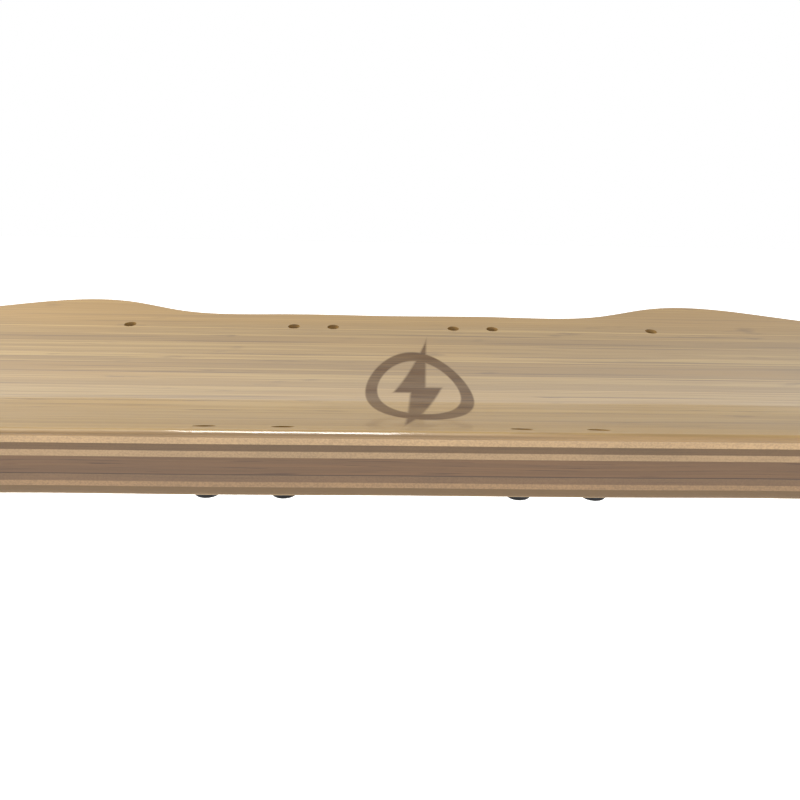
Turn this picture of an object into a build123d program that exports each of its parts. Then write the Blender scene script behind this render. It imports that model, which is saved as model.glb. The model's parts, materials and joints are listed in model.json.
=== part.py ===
from build123d import *
import math
import os

# Electric skateboard. X runs along the deck to the nose, Y is the rider's left, Z is up.
# The ground is at Z = 0 and the origin lies midway between the trucks. Sizes are in mm.

# Deck
DECK_LENGTH = 984
WAIST_WIDTH = 218
PLATFORM_WIDTH = 251
NECK_WIDTH = 158
TAIL_WIDTH = 176
FLARE_START_X = 112
PLATFORM_X = 163
FLARE_END_X = 222
NECK_X = 364
TAIL_X = 420
CONCAVE_RADIUS = 400
EDGE_ROUND = 1.2

# The deck's layers from the top down, each with its thickness
LAYERS = {
    "veneer_top": 2.05,
    "ply_light_upper": 1.55,
    "ply_dark": 1.65,
    "ply_light_middle": 1.5,
    "core_ply": 4.25,
    "ply_grey": 1.65,
    "ply_light_lower": 1.25,
    "veneer_bottom": 2.05,
}
DECK_THICKNESS = sum(LAYERS.values())

# Ride height
WHEEL_RADIUS = 48.5
TRUCK_HEIGHT = 62
RISER_THICKNESS = 4
UNDERSIDE_Z = WHEEL_RADIUS + TRUCK_HEIGHT + RISER_THICKNESS
ARC_Z = UNDERSIDE_Z + DECK_THICKNESS + CONCAVE_RADIUS
UNDERSIDE_RADIUS = CONCAVE_RADIUS + DECK_THICKNESS

# Housing screws: two rows near the deck's edges
ROW_Y = 91.5
COVER_SCREW_X = (31.4, 51.8)
HOUSING_SCREW_X = (136.2, 225, 259)
INSERT_RADIUS = 3
INSERT_LENGTH = 8
INSERT_SINK = 1
SCREW_RADIUS = 2
SCREW_HEAD_RADIUS = 3.5
SCREW_HEAD_HEIGHT = 1.5
SCREW_KEY_WIDTH = 2.5
SCREW_HOLE_CLEARANCE = 0.25
SEAT_RADIUS = 4

# Cable cover and the duct that runs into both housings
COVER_SKIN = 1
COVER_HALF_WIDTH = 97
DUCT_HALF_WIDTH = 34
DUCT_DEPTH = 12
DUCT_WALL = 1.5

# Housings
JOINT_X = 128
JOINT_GAP = 0.5
HOUSING_END_X = 308
TAPER_START_X = 262
EDGE_MARGIN = 6
BOX_END_X = 303
BOX_HALF_WIDTH = 76
BOX_CORNER = 14
BOX_EDGE_ROUND = 7
HOUSING_WALL = 2.5
FLANGE_THICKNESS = 3
FLANGE_CORNER = 12
GASKET_THICKNESS = 1

# Battery
CELL_RADIUS = 9.2
CELL_LENGTH = 65
CELL_GAP = 0.2
CELLS_ALONG = 5
CELL_ROWS = 2
CELL_LAYERS = 2
CELL_PITCH = 2 * CELL_RADIUS + CELL_GAP
PACK_END_GAP = 1
PACK_HEADROOM = 4.3
BMS_SPACE = 15
BOX_LENGTH = 2 * HOUSING_WALL + PACK_END_GAP + CELLS_ALONG * CELL_PITCH + BMS_SPACE
BOX_START_X = BOX_END_X - BOX_LENGTH
BOX_DEPTH = HOUSING_WALL + CELL_LAYERS * CELL_PITCH + PACK_HEADROOM
BOX_FLOOR_Z = UNDERSIDE_Z - BOX_DEPTH
BMS_THICKNESS = 6
BMS_HEIGHT = 30
BMS_WIDTH = 110

# Motor controller and heat sink
CONTROLLER_SIZE = (84, 104, 20)
SINK_SIZE = (92, 112)
SINK_PLATE = 4
SINK_WINDOW = (80, 100)
FIN_COUNT = 11
FIN_THICKNESS = 2.4
FIT_GAP = 0.3
PANEL_GAP = 1
GLAND_Y = 40
GLAND_DROP = 24
GLAND_RADIUS = 6
GLAND_NUT_RADIUS = 9
GLAND_LENGTH = 12
GLAND_BORE = 3.5

# Power button and its switch
CONTROL_DROP = 22
SWITCH_RADIUS = 8
SWITCH_DEPTH = 18
SWITCH_RIM_RADIUS = 10.5
SWITCH_RIM = 1.5
BUTTON_RADIUS = 6.6
BUTTON_LENGTH = 7
BUTTON_PROUD = 2.2
BUTTON_TRAVEL = 1.5
RUNNING_GAP = 0.05
BUTTON_X = -236

# Charge socket and cap
SOCKET_X = 236
SOCKET_RADIUS = 7.5
SOCKET_DEPTH = 9
SOCKET_BORE = 6
SOCKET_BORE_DEPTH = 9
SOCKET_RIM_RADIUS = 9.5
SOCKET_RIM = 1.5
SOCKET_PIN_RADIUS = 0.8
SOCKET_PIN_LENGTH = 4
SOCKET_PIN_CIRCLE = 2.8
CAP_THICKNESS = 2
CAP_GAP = 0.3
HINGE_RISE = 13.5
HINGE_STANDOFF = 3.2
HINGE_PIN_RADIUS = 1
KNUCKLE_RADIUS = 2.2
KNUCKLE_LENGTH = 9
EAR_THICKNESS = 2.5

# Trucks
AXLE_X = 372
AXLE_RADIUS = 4
PIVOT_ANGLE = 45
RING_REACH = 24
RING_RADIUS = 20
RING_THICKNESS = 13
KINGPIN_RADIUS = 4.75
KINGPIN_HEAD_RADIUS = 8.5
KINGPIN_HEAD = 6
RING_BORE = 7.4
BUSHING_RADIUS = 13
BUSHING_HEIGHT = 13
BUSHING_GAP = 0.1
WASHER_THICKNESS = 1.5
KINGPIN_NUT_RADIUS = 8.2
KINGPIN_NUT_HEIGHT = 9
KINGPIN_UPPER = 45
NOSE_RADIUS = 6
NOSE_ROOT_RADIUS = 10
NOSE_END = 61
CUP_START = 49
CUP_END = 64
CUP_RADIUS = 9
CUP_CLEARANCE = 0.3
HANGER_TUBE_RADIUS = 12.5
HANGER_END_RADIUS = 9.5
HANGER_CENTRE_HALF = 34
WING_HALF_WIDTH = 62
WING_THICKNESS = 11
BASE_HALF_WIDTH = 28
BASE_BODY_HALF = 14
BASE_PLATE = 7
BASE_START = -25
BASE_END = 63
TRUCK_HOLES_LONG = 53.9
TRUCK_HOLES_WIDE = 41.3
TRUCK_HOLES_OFFSET = 19
BOLT_RADIUS = 2.5
BOLT_CLEARANCE = 0.2
BOLT_HEAD_RADIUS = 4.8
BOLT_HEAD_DEPTH = 2.8
LOCKNUT_RADIUS = 4.6
LOCKNUT_HEIGHT = 5

# Wheels: the width, and the middle's distance from the board's centreline
WHEEL_WIDTH = 52
WHEEL_Y = 103
TYRE_ROUND = 9
CORE_RADIUS = 28
CORE_WIDTH = 40
CORE_WEB = 12
CORE_RIM = 4
CORE_HUB_RADIUS = 15
CORE_WINDOWS = 5
CORE_WINDOW_RADIUS = 4
BEARING_RADIUS = 11
BEARING_WIDTH = 7
BEARING_SPACING = 10
SPACER_RADIUS = 5.6
SIDE_GAP = 0.1
AXLE_WASHER = 0.9
AXLE_NUT_RADIUS = 7.4
AXLE_NUT_HEIGHT = 7
AXLE_NUT_GAP = 0.2

# Hub motors in the rear wheels
CAN_RADIUS = 39
CAN_WALL = 4
CAN_WIDTH = 49
CAN_END = 4
AIR_GAP = 0.8
STATOR_RADIUS = CAN_RADIUS - CAN_WALL - AIR_GAP
STATOR_GAP = 1.5
STATOR_SLOTS = 12
STATOR_SHAFT_RADIUS = 6
MOTOR_BEARING_RADIUS = 14
MOTOR_BEARING_WIDTH = 8
MOTOR_BEARING_SEAT = 17
MOTOR_SHAFT_INSET = 5
REAR_HANGER_GAP = 1

LAYER_SPAN = 2 * CONCAVE_RADIUS


def underside(y, below=0):
    """Height of the surface this far below the deck's underside, across the deck."""
    return ARC_Z - math.sqrt((UNDERSIDE_RADIUS + below) ** 2 - y**2)


def seat_z(y, skin):
    """Height of a housing screw's head seat: under the skin at that side of the deck."""
    slope = abs(y) / UNDERSIDE_RADIUS
    return underside(y, skin) - slope * SCREW_RADIUS / 2


COVER_SCREWS = [(sx * x, sy * ROW_Y) for x in COVER_SCREW_X for sx in (-1, 1) for sy in (-1, 1)]
HOUSING_SCREWS = [(x, sy * ROW_Y) for x in HOUSING_SCREW_X for sy in (-1, 1)]
REAR_SCREWS = [(-x, y) for x, y in HOUSING_SCREWS]
TRUCK_MIDDLE = AXLE_X + TRUCK_HOLES_OFFSET
os.makedirs("parts", exist_ok=True)


def save(part, name):
    """Names a finished piece and writes it."""
    part.label = name
    export_step(part, f"parts/{name}.step")


def to_end(part, end):
    """A piece made at the front, or its mirror image at the rear."""
    return mirror(part, about=Plane.YZ) if end == "rear" else part


def to_side(part, side):
    """A piece made on the left, or its mirror image on the right."""
    return mirror(part, about=Plane.XZ) if side == "right" else part


def bent_section(inner_radius, thickness, half_width):
    """Adds a strip of the deck's cross-section, concentric with its top, to the open sketch."""
    with Locations((0, ARC_Z)):
        Circle(inner_radius + thickness)
        Circle(inner_radius, mode=Mode.SUBTRACT)
    with Locations((0, UNDERSIDE_Z)):
        Rectangle(2 * half_width, LAYER_SPAN / 2, mode=Mode.INTERSECT)


# ---------------------------------------------------------------- deck

with BuildSketch() as deck_outline:
    with BuildLine():
        Spline(
            (0, WAIST_WIDTH / 2),
            (FLARE_START_X / 2, WAIST_WIDTH / 2 + 0.6),
            (FLARE_START_X, WAIST_WIDTH / 2 + 2.6),
            ((FLARE_START_X + 2 * PLATFORM_X) / 3, PLATFORM_WIDTH / 2 - 2.2),
            (PLATFORM_X + 3, PLATFORM_WIDTH / 2),
            ((PLATFORM_X + FLARE_END_X) / 2, PLATFORM_WIDTH / 2 - 4),
            (FLARE_END_X, WAIST_WIDTH / 2 + 3),
            ((FLARE_END_X + NECK_X) / 2, (WAIST_WIDTH + NECK_WIDTH) / 4 - 2),
            (NECK_X, NECK_WIDTH / 2),
            (TAIL_X, TAIL_WIDTH / 2),
            tangents=((1, 0), (1, 0)),
        )
        EllipticalCenterArc((TAIL_X, 0), DECK_LENGTH / 2 - TAIL_X, TAIL_WIDTH / 2, arc_size=90)
        mirror(about=Plane.XZ)
        mirror(about=Plane.YZ)
    make_face()

TRUCK_BOLTS = [
    (end * TRUCK_MIDDLE + sx * TRUCK_HOLES_LONG / 2, sy * TRUCK_HOLES_WIDE / 2)
    for end in (-1, 1)
    for sx in (-1, 1)
    for sy in (-1, 1)
]


def bolt_head_z(y):
    """Height of a truck bolt's flush head, at the deck's top surface."""
    return underside(y, -DECK_THICKNESS)


with BuildPart() as deck_holes:
    with Locations(*[(x, y, UNDERSIDE_Z) for x, y in COVER_SCREWS + HOUSING_SCREWS + REAR_SCREWS]):
        Cylinder(INSERT_RADIUS, LAYER_SPAN / 4)
    with Locations(*[(x, y, UNDERSIDE_Z) for x, y in TRUCK_BOLTS]):
        Cylinder(BOLT_RADIUS + BOLT_CLEARANCE, LAYER_SPAN / 4)
    with Locations(*[(x, y, bolt_head_z(y) - BOLT_HEAD_DEPTH) for x, y in TRUCK_BOLTS]):
        Cone(
            BOLT_RADIUS + BOLT_CLEARANCE,
            BOLT_HEAD_RADIUS + BOLT_CLEARANCE,
            BOLT_HEAD_DEPTH,
            align=(Align.CENTER, Align.CENTER, Align.MIN),
        )
    with Locations(*[(x, y, bolt_head_z(y)) for x, y in TRUCK_BOLTS]):
        Cylinder(
            BOLT_HEAD_RADIUS + BOLT_CLEARANCE,
            DECK_THICKNESS,
            align=(Align.CENTER, Align.CENTER, Align.MIN),
        )


def make_layer(name, depth, thickness):
    """One bonded layer, bent across the deck and cut to the outline, with every hole."""
    with BuildPart() as layer:
        with BuildSketch(Plane.YZ):
            bent_section(CONCAVE_RADIUS + depth, thickness, PLATFORM_WIDTH)
        extrude(amount=DECK_LENGTH, both=True)
        extrude(deck_outline.sketch, amount=LAYER_SPAN, mode=Mode.INTERSECT)
        broad = layer.faces().sort_by(SortBy.AREA)[-2:].sort_by(SortBy.RADIUS)
        if name == "veneer_top":
            fillet(broad[0].outer_wire().edges(), EDGE_ROUND)
        if name == "veneer_bottom":
            fillet(broad[-1].outer_wire().edges(), EDGE_ROUND)
        add(deck_holes.part, mode=Mode.SUBTRACT)
    return layer.part


depth = 0
for name, thickness in LAYERS.items():
    save(make_layer(name, depth, thickness), name)
    depth += thickness

# ---------------------------------------------------------------- screws and inserts

ALL_SCREWS = [(x, y, COVER_SKIN) for x, y in COVER_SCREWS]
ALL_SCREWS += [(x, y, GASKET_THICKNESS + FLANGE_THICKNESS) for x, y in HOUSING_SCREWS + REAR_SCREWS]
UP = (Align.CENTER, Align.CENTER, Align.MIN)
DOWN = (Align.CENTER, Align.CENTER, Align.MAX)

with BuildPart() as threaded_inserts:
    with Locations(*[(x, y, underside(y) + INSERT_SINK) for x, y, skin in ALL_SCREWS]):
        Cylinder(INSERT_RADIUS, INSERT_LENGTH, align=UP)
        Cylinder(SCREW_RADIUS, INSERT_LENGTH, align=UP, mode=Mode.SUBTRACT)
save(threaded_inserts.part, "threaded_inserts")


def make_button_screw(shank_length):
    """A button-head screw with its head's seat at the origin and its shank upwards."""
    with BuildPart() as screw:
        Cylinder(SCREW_HEAD_RADIUS, SCREW_HEAD_HEIGHT, align=DOWN)
        fillet(screw.edges().sort_by(Axis.Z)[0], SCREW_HEAD_HEIGHT * 0.8)
        with BuildSketch(Plane.XY.offset(-SCREW_HEAD_HEIGHT)):
            RegularPolygon(SCREW_KEY_WIDTH / 2, 6, major_radius=False)
        extrude(amount=SCREW_HEAD_HEIGHT * 0.6, mode=Mode.SUBTRACT)
        Cylinder(SCREW_RADIUS, shank_length, align=UP)
    return screw.part


def shank_length(y, skin):
    """From the head's seat to the insert's last thread."""
    return underside(y) + INSERT_SINK + INSERT_LENGTH - 1 - seat_z(y, skin)


screws = [
    Pos(x, y, seat_z(y, skin)) * make_button_screw(shank_length(y, skin)) for x, y, skin in ALL_SCREWS
]
with BuildPart() as enclosure_screws:
    for screw in screws:
        add(screw)
save(enclosure_screws.part, "enclosure_screws")


def screw_seats(points, skin):
    """Adds a pad under each screw, faces it off flat for the head, and drills it."""
    with Locations(*[(x, y, seat_z(y, skin)) for x, y in points]):
        Cylinder(SEAT_RADIUS, 3 * skin, align=UP)
        Cylinder(SEAT_RADIUS, 2 * skin, align=DOWN, mode=Mode.SUBTRACT)


def screw_holes(points):
    """Drills a clearance hole for each screw."""
    with Locations(*[(x, y, UNDERSIDE_Z) for x, y in points]):
        Cylinder(SCREW_RADIUS + SCREW_HOLE_CLEARANCE, LAYER_SPAN / 4, mode=Mode.SUBTRACT)


def trim_to_underside(gap):
    """Cuts away everything above the surface this far below the deck's underside."""
    with Locations(Location((0, 0, ARC_Z), (0, -90, 0))):
        Cylinder(UNDERSIDE_RADIUS + gap, DECK_LENGTH, mode=Mode.SUBTRACT)


# ---------------------------------------------------------------- cable cover

with BuildPart() as cable_cover:
    with BuildSketch(Plane.YZ):
        bent_section(UNDERSIDE_RADIUS, COVER_SKIN, COVER_HALF_WIDTH)
    extrude(amount=JOINT_X - JOINT_GAP, both=True)
    with BuildSketch(Plane.YZ):
        with Locations((0, UNDERSIDE_Z)):
            Rectangle(2 * DUCT_HALF_WIDTH, 2 * DUCT_DEPTH)
    extrude(amount=JOINT_X - JOINT_GAP, both=True)
    fillet(
        cable_cover.edges().filter_by(Axis.X).group_by(Axis.Z)[0], DUCT_DEPTH / 2
    )
    screw_seats(COVER_SCREWS, COVER_SKIN)
    trim_to_underside(0)
    with BuildSketch(Plane.YZ):
        with Locations((0, UNDERSIDE_Z)):
            RectangleRounded(
                2 * (DUCT_HALF_WIDTH - DUCT_WALL), 2 * (DUCT_DEPTH - DUCT_WALL), DUCT_DEPTH / 3
            )
    extrude(amount=JOINT_X, both=True, mode=Mode.SUBTRACT)
    screw_holes(COVER_SCREWS)
save(cable_cover.part, "cable_cover")

# ---------------------------------------------------------------- housings

BOX_MIDDLE = (BOX_END_X + BOX_START_X) / 2
NECK_OVERLAP = 2 * HOUSING_WALL
CAVITY_HALF = BOX_HALF_WIDTH - HOUSING_WALL
DUCT_PLANE = Plane.YZ.offset(JOINT_X)


def deck_half_width(x):
    """Half the deck's width, this far from its middle."""
    strip = deck_outline.sketch & Pos(x, 0) * Rectangle(RUNNING_GAP, DECK_LENGTH)
    return strip.bounding_box().max.Y


def flange_plan():
    """The flange's outline: square where it meets the cover, tapered and rounded at its outer end."""
    end_half = deck_half_width(HOUSING_END_X) - EDGE_MARGIN
    with BuildSketch() as plan:
        with BuildLine():
            Polyline(
                (JOINT_X, COVER_HALF_WIDTH),
                (TAPER_START_X, COVER_HALF_WIDTH),
                (HOUSING_END_X, end_half),
                (HOUSING_END_X, -end_half),
                (TAPER_START_X, -COVER_HALF_WIDTH),
                (JOINT_X, -COVER_HALF_WIDTH),
                close=True,
            )
        make_face()
        fillet(plan.vertices().group_by(Axis.X)[-1], FLANGE_CORNER)
    return plan.sketch


flange_outline = flange_plan()

with BuildPart() as housing_cavity:
    with BuildSketch(Plane.XY.offset(BOX_FLOOR_Z + HOUSING_WALL)):
        with Locations((BOX_MIDDLE, 0)):
            RectangleRounded(
                BOX_LENGTH - 2 * HOUSING_WALL, 2 * CAVITY_HALF, BOX_CORNER - HOUSING_WALL
            )
    extrude(amount=LAYER_SPAN / 8)
    with BuildSketch(DUCT_PLANE.offset(-1)):
        with Locations((0, UNDERSIDE_Z)):
            RectangleRounded(
                2 * (DUCT_HALF_WIDTH - DUCT_WALL), 2 * (DUCT_DEPTH - DUCT_WALL), DUCT_DEPTH / 3
            )
    extrude(amount=BOX_START_X - JOINT_X + NECK_OVERLAP)

with BuildPart() as housing:
    with BuildSketch(Plane.XY.offset(BOX_FLOOR_Z)):
        with Locations((BOX_MIDDLE, 0)):
            RectangleRounded(BOX_LENGTH, 2 * BOX_HALF_WIDTH, BOX_CORNER)
    extrude(amount=BOX_DEPTH + 2 * DUCT_DEPTH)
    fillet(housing.faces().sort_by(Axis.Z)[0].outer_wire().edges(), BOX_EDGE_ROUND)
    with BuildSketch(DUCT_PLANE):
        with Locations((0, UNDERSIDE_Z)):
            RectangleRounded(2 * DUCT_HALF_WIDTH, 2 * DUCT_DEPTH, DUCT_DEPTH / 2)
    extrude(amount=BOX_START_X - JOINT_X + NECK_OVERLAP)
    with BuildSketch(Plane.YZ):
        bent_section(
            UNDERSIDE_RADIUS + GASKET_THICKNESS, FLANGE_THICKNESS, PLATFORM_WIDTH
        )
    flange = extrude(amount=2 * HOUSING_END_X, mode=Mode.PRIVATE)
    add(flange & extrude(flange_outline, amount=LAYER_SPAN, mode=Mode.PRIVATE))
    screw_seats(HOUSING_SCREWS, GASKET_THICKNESS + FLANGE_THICKNESS)
    trim_to_underside(GASKET_THICKNESS)
    add(housing_cavity.part, mode=Mode.SUBTRACT)
    screw_holes(HOUSING_SCREWS)

with BuildPart() as gasket:
    with BuildSketch(Plane.YZ):
        bent_section(UNDERSIDE_RADIUS, GASKET_THICKNESS, PLATFORM_WIDTH)
    extrude(amount=2 * HOUSING_END_X)
    extrude(flange_outline, amount=LAYER_SPAN, mode=Mode.INTERSECT)
    add(housing_cavity.part, mode=Mode.SUBTRACT)
    screw_holes(HOUSING_SCREWS)
save(gasket.part, "battery_gasket")
save(to_end(gasket.part, "rear"), "electronics_gasket")

CONTROL_Z = UNDERSIDE_Z - CONTROL_DROP
WALL_PLANE = Plane(origin=(0, BOX_HALF_WIDTH, CONTROL_Z), x_dir=(1, 0, 0), z_dir=(0, 1, 0))
FACE_PLANE = WALL_PLANE.offset(SOCKET_RIM)


def bar(plane, x, radius, start, end, mode=Mode.ADD, y=0):
    """Adds a round bar standing on a plane, from one height above it to another."""
    with BuildSketch(plane.offset(start)) as circle:
        with Locations((x, y)):
            Circle(radius)
    extrude(circle.sketch, amount=end - start, mode=mode)


with BuildPart() as battery_housing:
    add(housing.part)
    bar(WALL_PLANE, SOCKET_X, SOCKET_RADIUS, -2 * HOUSING_WALL, 1, Mode.SUBTRACT)
save(battery_housing.part, "battery_housing")

# ---------------------------------------------------------------- battery

cell_z = BOX_FLOOR_Z + HOUSING_WALL + CELL_GAP + CELL_RADIUS
CELL_BLOCK_START = BOX_END_X - HOUSING_WALL - PACK_END_GAP - CELLS_ALONG * CELL_PITCH
with BuildPart() as battery_cells:
    for layer in range(CELL_LAYERS):
        for step in range(CELLS_ALONG):
            x = CELL_BLOCK_START + (step + 0.5) * CELL_PITCH
            for row in range(CELL_ROWS):
                y = (row - (CELL_ROWS - 1) / 2) * (CELL_LENGTH + 1)
                with Locations(Location((x, y, cell_z + layer * CELL_PITCH), (90, 0, 0))):
                    Cylinder(CELL_RADIUS, CELL_LENGTH)
save(battery_cells.part, "battery_cells")

with BuildPart() as bms_board:
    with Locations((CELL_BLOCK_START - CELL_GAP - BMS_THICKNESS, 0, BOX_FLOOR_Z + 2 * HOUSING_WALL)):
        Box(1.6, BMS_WIDTH, BMS_HEIGHT, align=UP)
        with GridLocations(0, BMS_WIDTH / 8, 1, 7):
            Box(BMS_THICKNESS, 9, BMS_HEIGHT / 2, align=(Align.MAX, Align.CENTER, Align.MIN))
save(bms_board.part, "bms_board")

# ---------------------------------------------------------------- charge socket and cap

HINGE_PLANE = Plane(
    origin=(SOCKET_X, BOX_HALF_WIDTH + HINGE_STANDOFF, CONTROL_Z + HINGE_RISE),
    x_dir=(0, 1, 0),
    z_dir=(1, 0, 0),
)
ear_inner = KNUCKLE_LENGTH / 2 + CAP_GAP
ear_outer = ear_inner + EAR_THICKNESS


with BuildPart() as charge_socket:
    bar(WALL_PLANE, SOCKET_X, SOCKET_RADIUS, -SOCKET_DEPTH, SOCKET_RIM)
    bar(WALL_PLANE, SOCKET_X, SOCKET_RIM_RADIUS, 0, SOCKET_RIM)
    for start, end in ((-ear_outer, -ear_inner), (ear_inner, ear_outer)):
        with BuildSketch(HINGE_PLANE.offset(start)):
            Circle(KNUCKLE_RADIUS)
            with BuildLine():
                Polyline(
                    (-HINGE_STANDOFF, KNUCKLE_RADIUS),
                    (0, KNUCKLE_RADIUS),
                    (KNUCKLE_RADIUS, 0),
                    (SOCKET_RIM - HINGE_STANDOFF, SOCKET_RIM_RADIUS + CAP_GAP - HINGE_RISE),
                    (SOCKET_RIM - HINGE_STANDOFF, SOCKET_RIM_RADIUS / 2 - HINGE_RISE),
                    (-HINGE_STANDOFF, SOCKET_RIM_RADIUS / 2 - HINGE_RISE),
                    close=True,
                )
            make_face()
        extrude(amount=end - start)
    bar(HINGE_PLANE, 0, HINGE_PIN_RADIUS, -ear_outer, ear_outer, Mode.SUBTRACT)
    bar(WALL_PLANE, SOCKET_X, SOCKET_BORE, SOCKET_RIM - SOCKET_BORE_DEPTH, SOCKET_RIM, Mode.SUBTRACT)
    with BuildSketch(FACE_PLANE.offset(-SOCKET_BORE_DEPTH)):
        with Locations((SOCKET_X, 0)):
            with PolarLocations(SOCKET_PIN_CIRCLE, 3):
                Circle(SOCKET_PIN_RADIUS)
    extrude(amount=SOCKET_PIN_LENGTH)
save(charge_socket.part, "charge_socket")

with BuildPart() as charge_cap:
    bar(FACE_PLANE, SOCKET_X, SOCKET_RIM_RADIUS, CAP_GAP, CAP_GAP + CAP_THICKNESS)
    fillet(charge_cap.edges().sort_by(Axis.Y)[-1], CAP_THICKNESS / 2)
    bar(HINGE_PLANE, 0, KNUCKLE_RADIUS, -KNUCKLE_LENGTH / 2, KNUCKLE_LENGTH / 2)
    with BuildSketch(FACE_PLANE.offset(CAP_GAP)):
        with Locations((SOCKET_X, HINGE_RISE / 2)):
            Rectangle(KNUCKLE_LENGTH, HINGE_RISE)
    extrude(amount=CAP_THICKNESS)
    bar(
        HINGE_PLANE, 0, HINGE_PIN_RADIUS + RUNNING_GAP, -KNUCKLE_LENGTH, KNUCKLE_LENGTH, Mode.SUBTRACT
    )
save(charge_cap.part, "charge_cap")

with BuildPart() as charge_cap_pin:
    bar(HINGE_PLANE, 0, HINGE_PIN_RADIUS, -ear_outer, ear_outer)
save(charge_cap_pin.part, "charge_cap_pin")

# ---------------------------------------------------------------- electronics housing

END_PLANE = Plane(origin=(-BOX_END_X, 0, UNDERSIDE_Z - GLAND_DROP), x_dir=(0, 1, 0), z_dir=(-1, 0, 0))

with BuildPart() as electronics_housing:
    add(to_end(housing.part, "rear"))
    with BuildSketch(Plane.XY.offset(BOX_FLOOR_Z - 1)):
        with Locations((-BOX_MIDDLE, 0)):
            Rectangle(*SINK_WINDOW)
    extrude(amount=1 + 2 * HOUSING_WALL, mode=Mode.SUBTRACT)
    bar(WALL_PLANE, BUTTON_X, SWITCH_RADIUS, -2 * HOUSING_WALL, 1, Mode.SUBTRACT)
    for y in (-GLAND_Y, GLAND_Y):
        bar(END_PLANE, y, GLAND_RADIUS, -2 * HOUSING_WALL, 1, Mode.SUBTRACT)
save(electronics_housing.part, "electronics_housing")

FIN_PITCH = (SINK_WINDOW[1] - FIN_THICKNESS - 2 * FIT_GAP) / (FIN_COUNT - 1)
with BuildPart() as heat_sink:
    with Locations((-BOX_MIDDLE, 0, BOX_FLOOR_Z + HOUSING_WALL)):
        Box(*SINK_SIZE, SINK_PLATE, align=UP)
        with GridLocations(0, FIN_PITCH, 1, FIN_COUNT):
            Box(SINK_WINDOW[0] - 2 * FIT_GAP, FIN_THICKNESS, HOUSING_WALL, align=DOWN)
save(heat_sink.part, "heat_sink")

with BuildPart() as motor_controller:
    with Locations((-BOX_MIDDLE, 0, BOX_FLOOR_Z + HOUSING_WALL + SINK_PLATE)):
        Box(*CONTROLLER_SIZE, align=UP)
    fillet(motor_controller.edges().filter_by(Axis.Z), 4)
    fillet(motor_controller.faces().sort_by(Axis.Z)[-1].outer_wire().edges(), 2)
save(motor_controller.part, "motor_controller")

with BuildPart() as cable_glands:
    for y in (-GLAND_Y, GLAND_Y):
        bar(END_PLANE, y, GLAND_RADIUS, -3 * HOUSING_WALL, 0)
        bar(END_PLANE, y, GLAND_NUT_RADIUS, 0, GLAND_LENGTH / 2)
        bar(END_PLANE, y, GLAND_RADIUS + 1, GLAND_LENGTH / 2, GLAND_LENGTH)
        bar(END_PLANE, y, GLAND_BORE, -3 * HOUSING_WALL, GLAND_LENGTH, Mode.SUBTRACT)
save(cable_glands.part, "cable_glands")

with BuildPart() as switch_body:
    bar(WALL_PLANE, BUTTON_X, SWITCH_RADIUS, -SWITCH_DEPTH, SWITCH_RIM)
    bar(WALL_PLANE, BUTTON_X, SWITCH_RIM_RADIUS, 0, SWITCH_RIM)
    fillet(switch_body.edges().sort_by(Axis.Y)[-1], SWITCH_RIM / 2)
    bar(
        WALL_PLANE,
        BUTTON_X,
        BUTTON_RADIUS + RUNNING_GAP,
        BUTTON_PROUD - BUTTON_LENGTH - BUTTON_TRAVEL - CAP_GAP,
        SWITCH_RIM + 1,
        Mode.SUBTRACT,
    )
save(switch_body.part, "switch_body")

with BuildPart() as power_button:
    bar(WALL_PLANE, BUTTON_X, BUTTON_RADIUS, BUTTON_PROUD - BUTTON_LENGTH, BUTTON_PROUD)
    fillet(power_button.edges().sort_by(Axis.Y)[-1], 0.6)
save(power_button.part, "power_button")

# ---------------------------------------------------------------- riser pads and truck bolts

PAD_PLANE_Z = UNDERSIDE_Z - RISER_THICKNESS
BASE_LENGTH = BASE_END - BASE_START
BASE_MIDDLE = AXLE_X + (BASE_END + BASE_START) / 2

with BuildPart() as riser_pad:
    with BuildSketch(Plane.XY.offset(PAD_PLANE_Z)):
        with Locations((BASE_MIDDLE, 0)):
            RectangleRounded(BASE_LENGTH, 2 * BASE_HALF_WIDTH, 6)
    extrude(amount=4 * RISER_THICKNESS)
    trim_to_underside(0)
    with Locations(*[(x, y, PAD_PLANE_Z) for x, y in TRUCK_BOLTS if x > 0]):
        Cylinder(BOLT_RADIUS + BOLT_CLEARANCE, LAYER_SPAN / 4, mode=Mode.SUBTRACT)
save(riser_pad.part, "front_riser_pad")
save(to_end(riser_pad.part, "rear"), "rear_riser_pad")

NUT_TOP_Z = PAD_PLANE_Z - BASE_PLATE
with BuildPart() as truck_bolts:
    for x, y in TRUCK_BOLTS:
        head_z = bolt_head_z(y)
        with Locations((x, y, head_z)):
            Cylinder(BOLT_RADIUS, head_z - NUT_TOP_Z + LOCKNUT_HEIGHT + 1.5, align=DOWN)
        with Locations((x, y, head_z - BOLT_HEAD_DEPTH)):
            Cone(BOLT_RADIUS, BOLT_HEAD_RADIUS, BOLT_HEAD_DEPTH, align=UP)
        with BuildSketch(Plane.XY.offset(head_z)):
            with Locations((x, y)):
                RegularPolygon(1.5, 6, major_radius=False)
        extrude(amount=-1.8, mode=Mode.SUBTRACT)
save(truck_bolts.part, "truck_bolts")

with BuildPart() as truck_locknuts:
    with BuildSketch(Plane.XY.offset(NUT_TOP_Z)):
        with Locations(*TRUCK_BOLTS):
            RegularPolygon(LOCKNUT_RADIUS, 6)
            Circle(BOLT_RADIUS, mode=Mode.SUBTRACT)
    extrude(amount=-LOCKNUT_HEIGHT)
save(truck_locknuts.part, "truck_locknuts")

# ---------------------------------------------------------------- trucks

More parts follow.
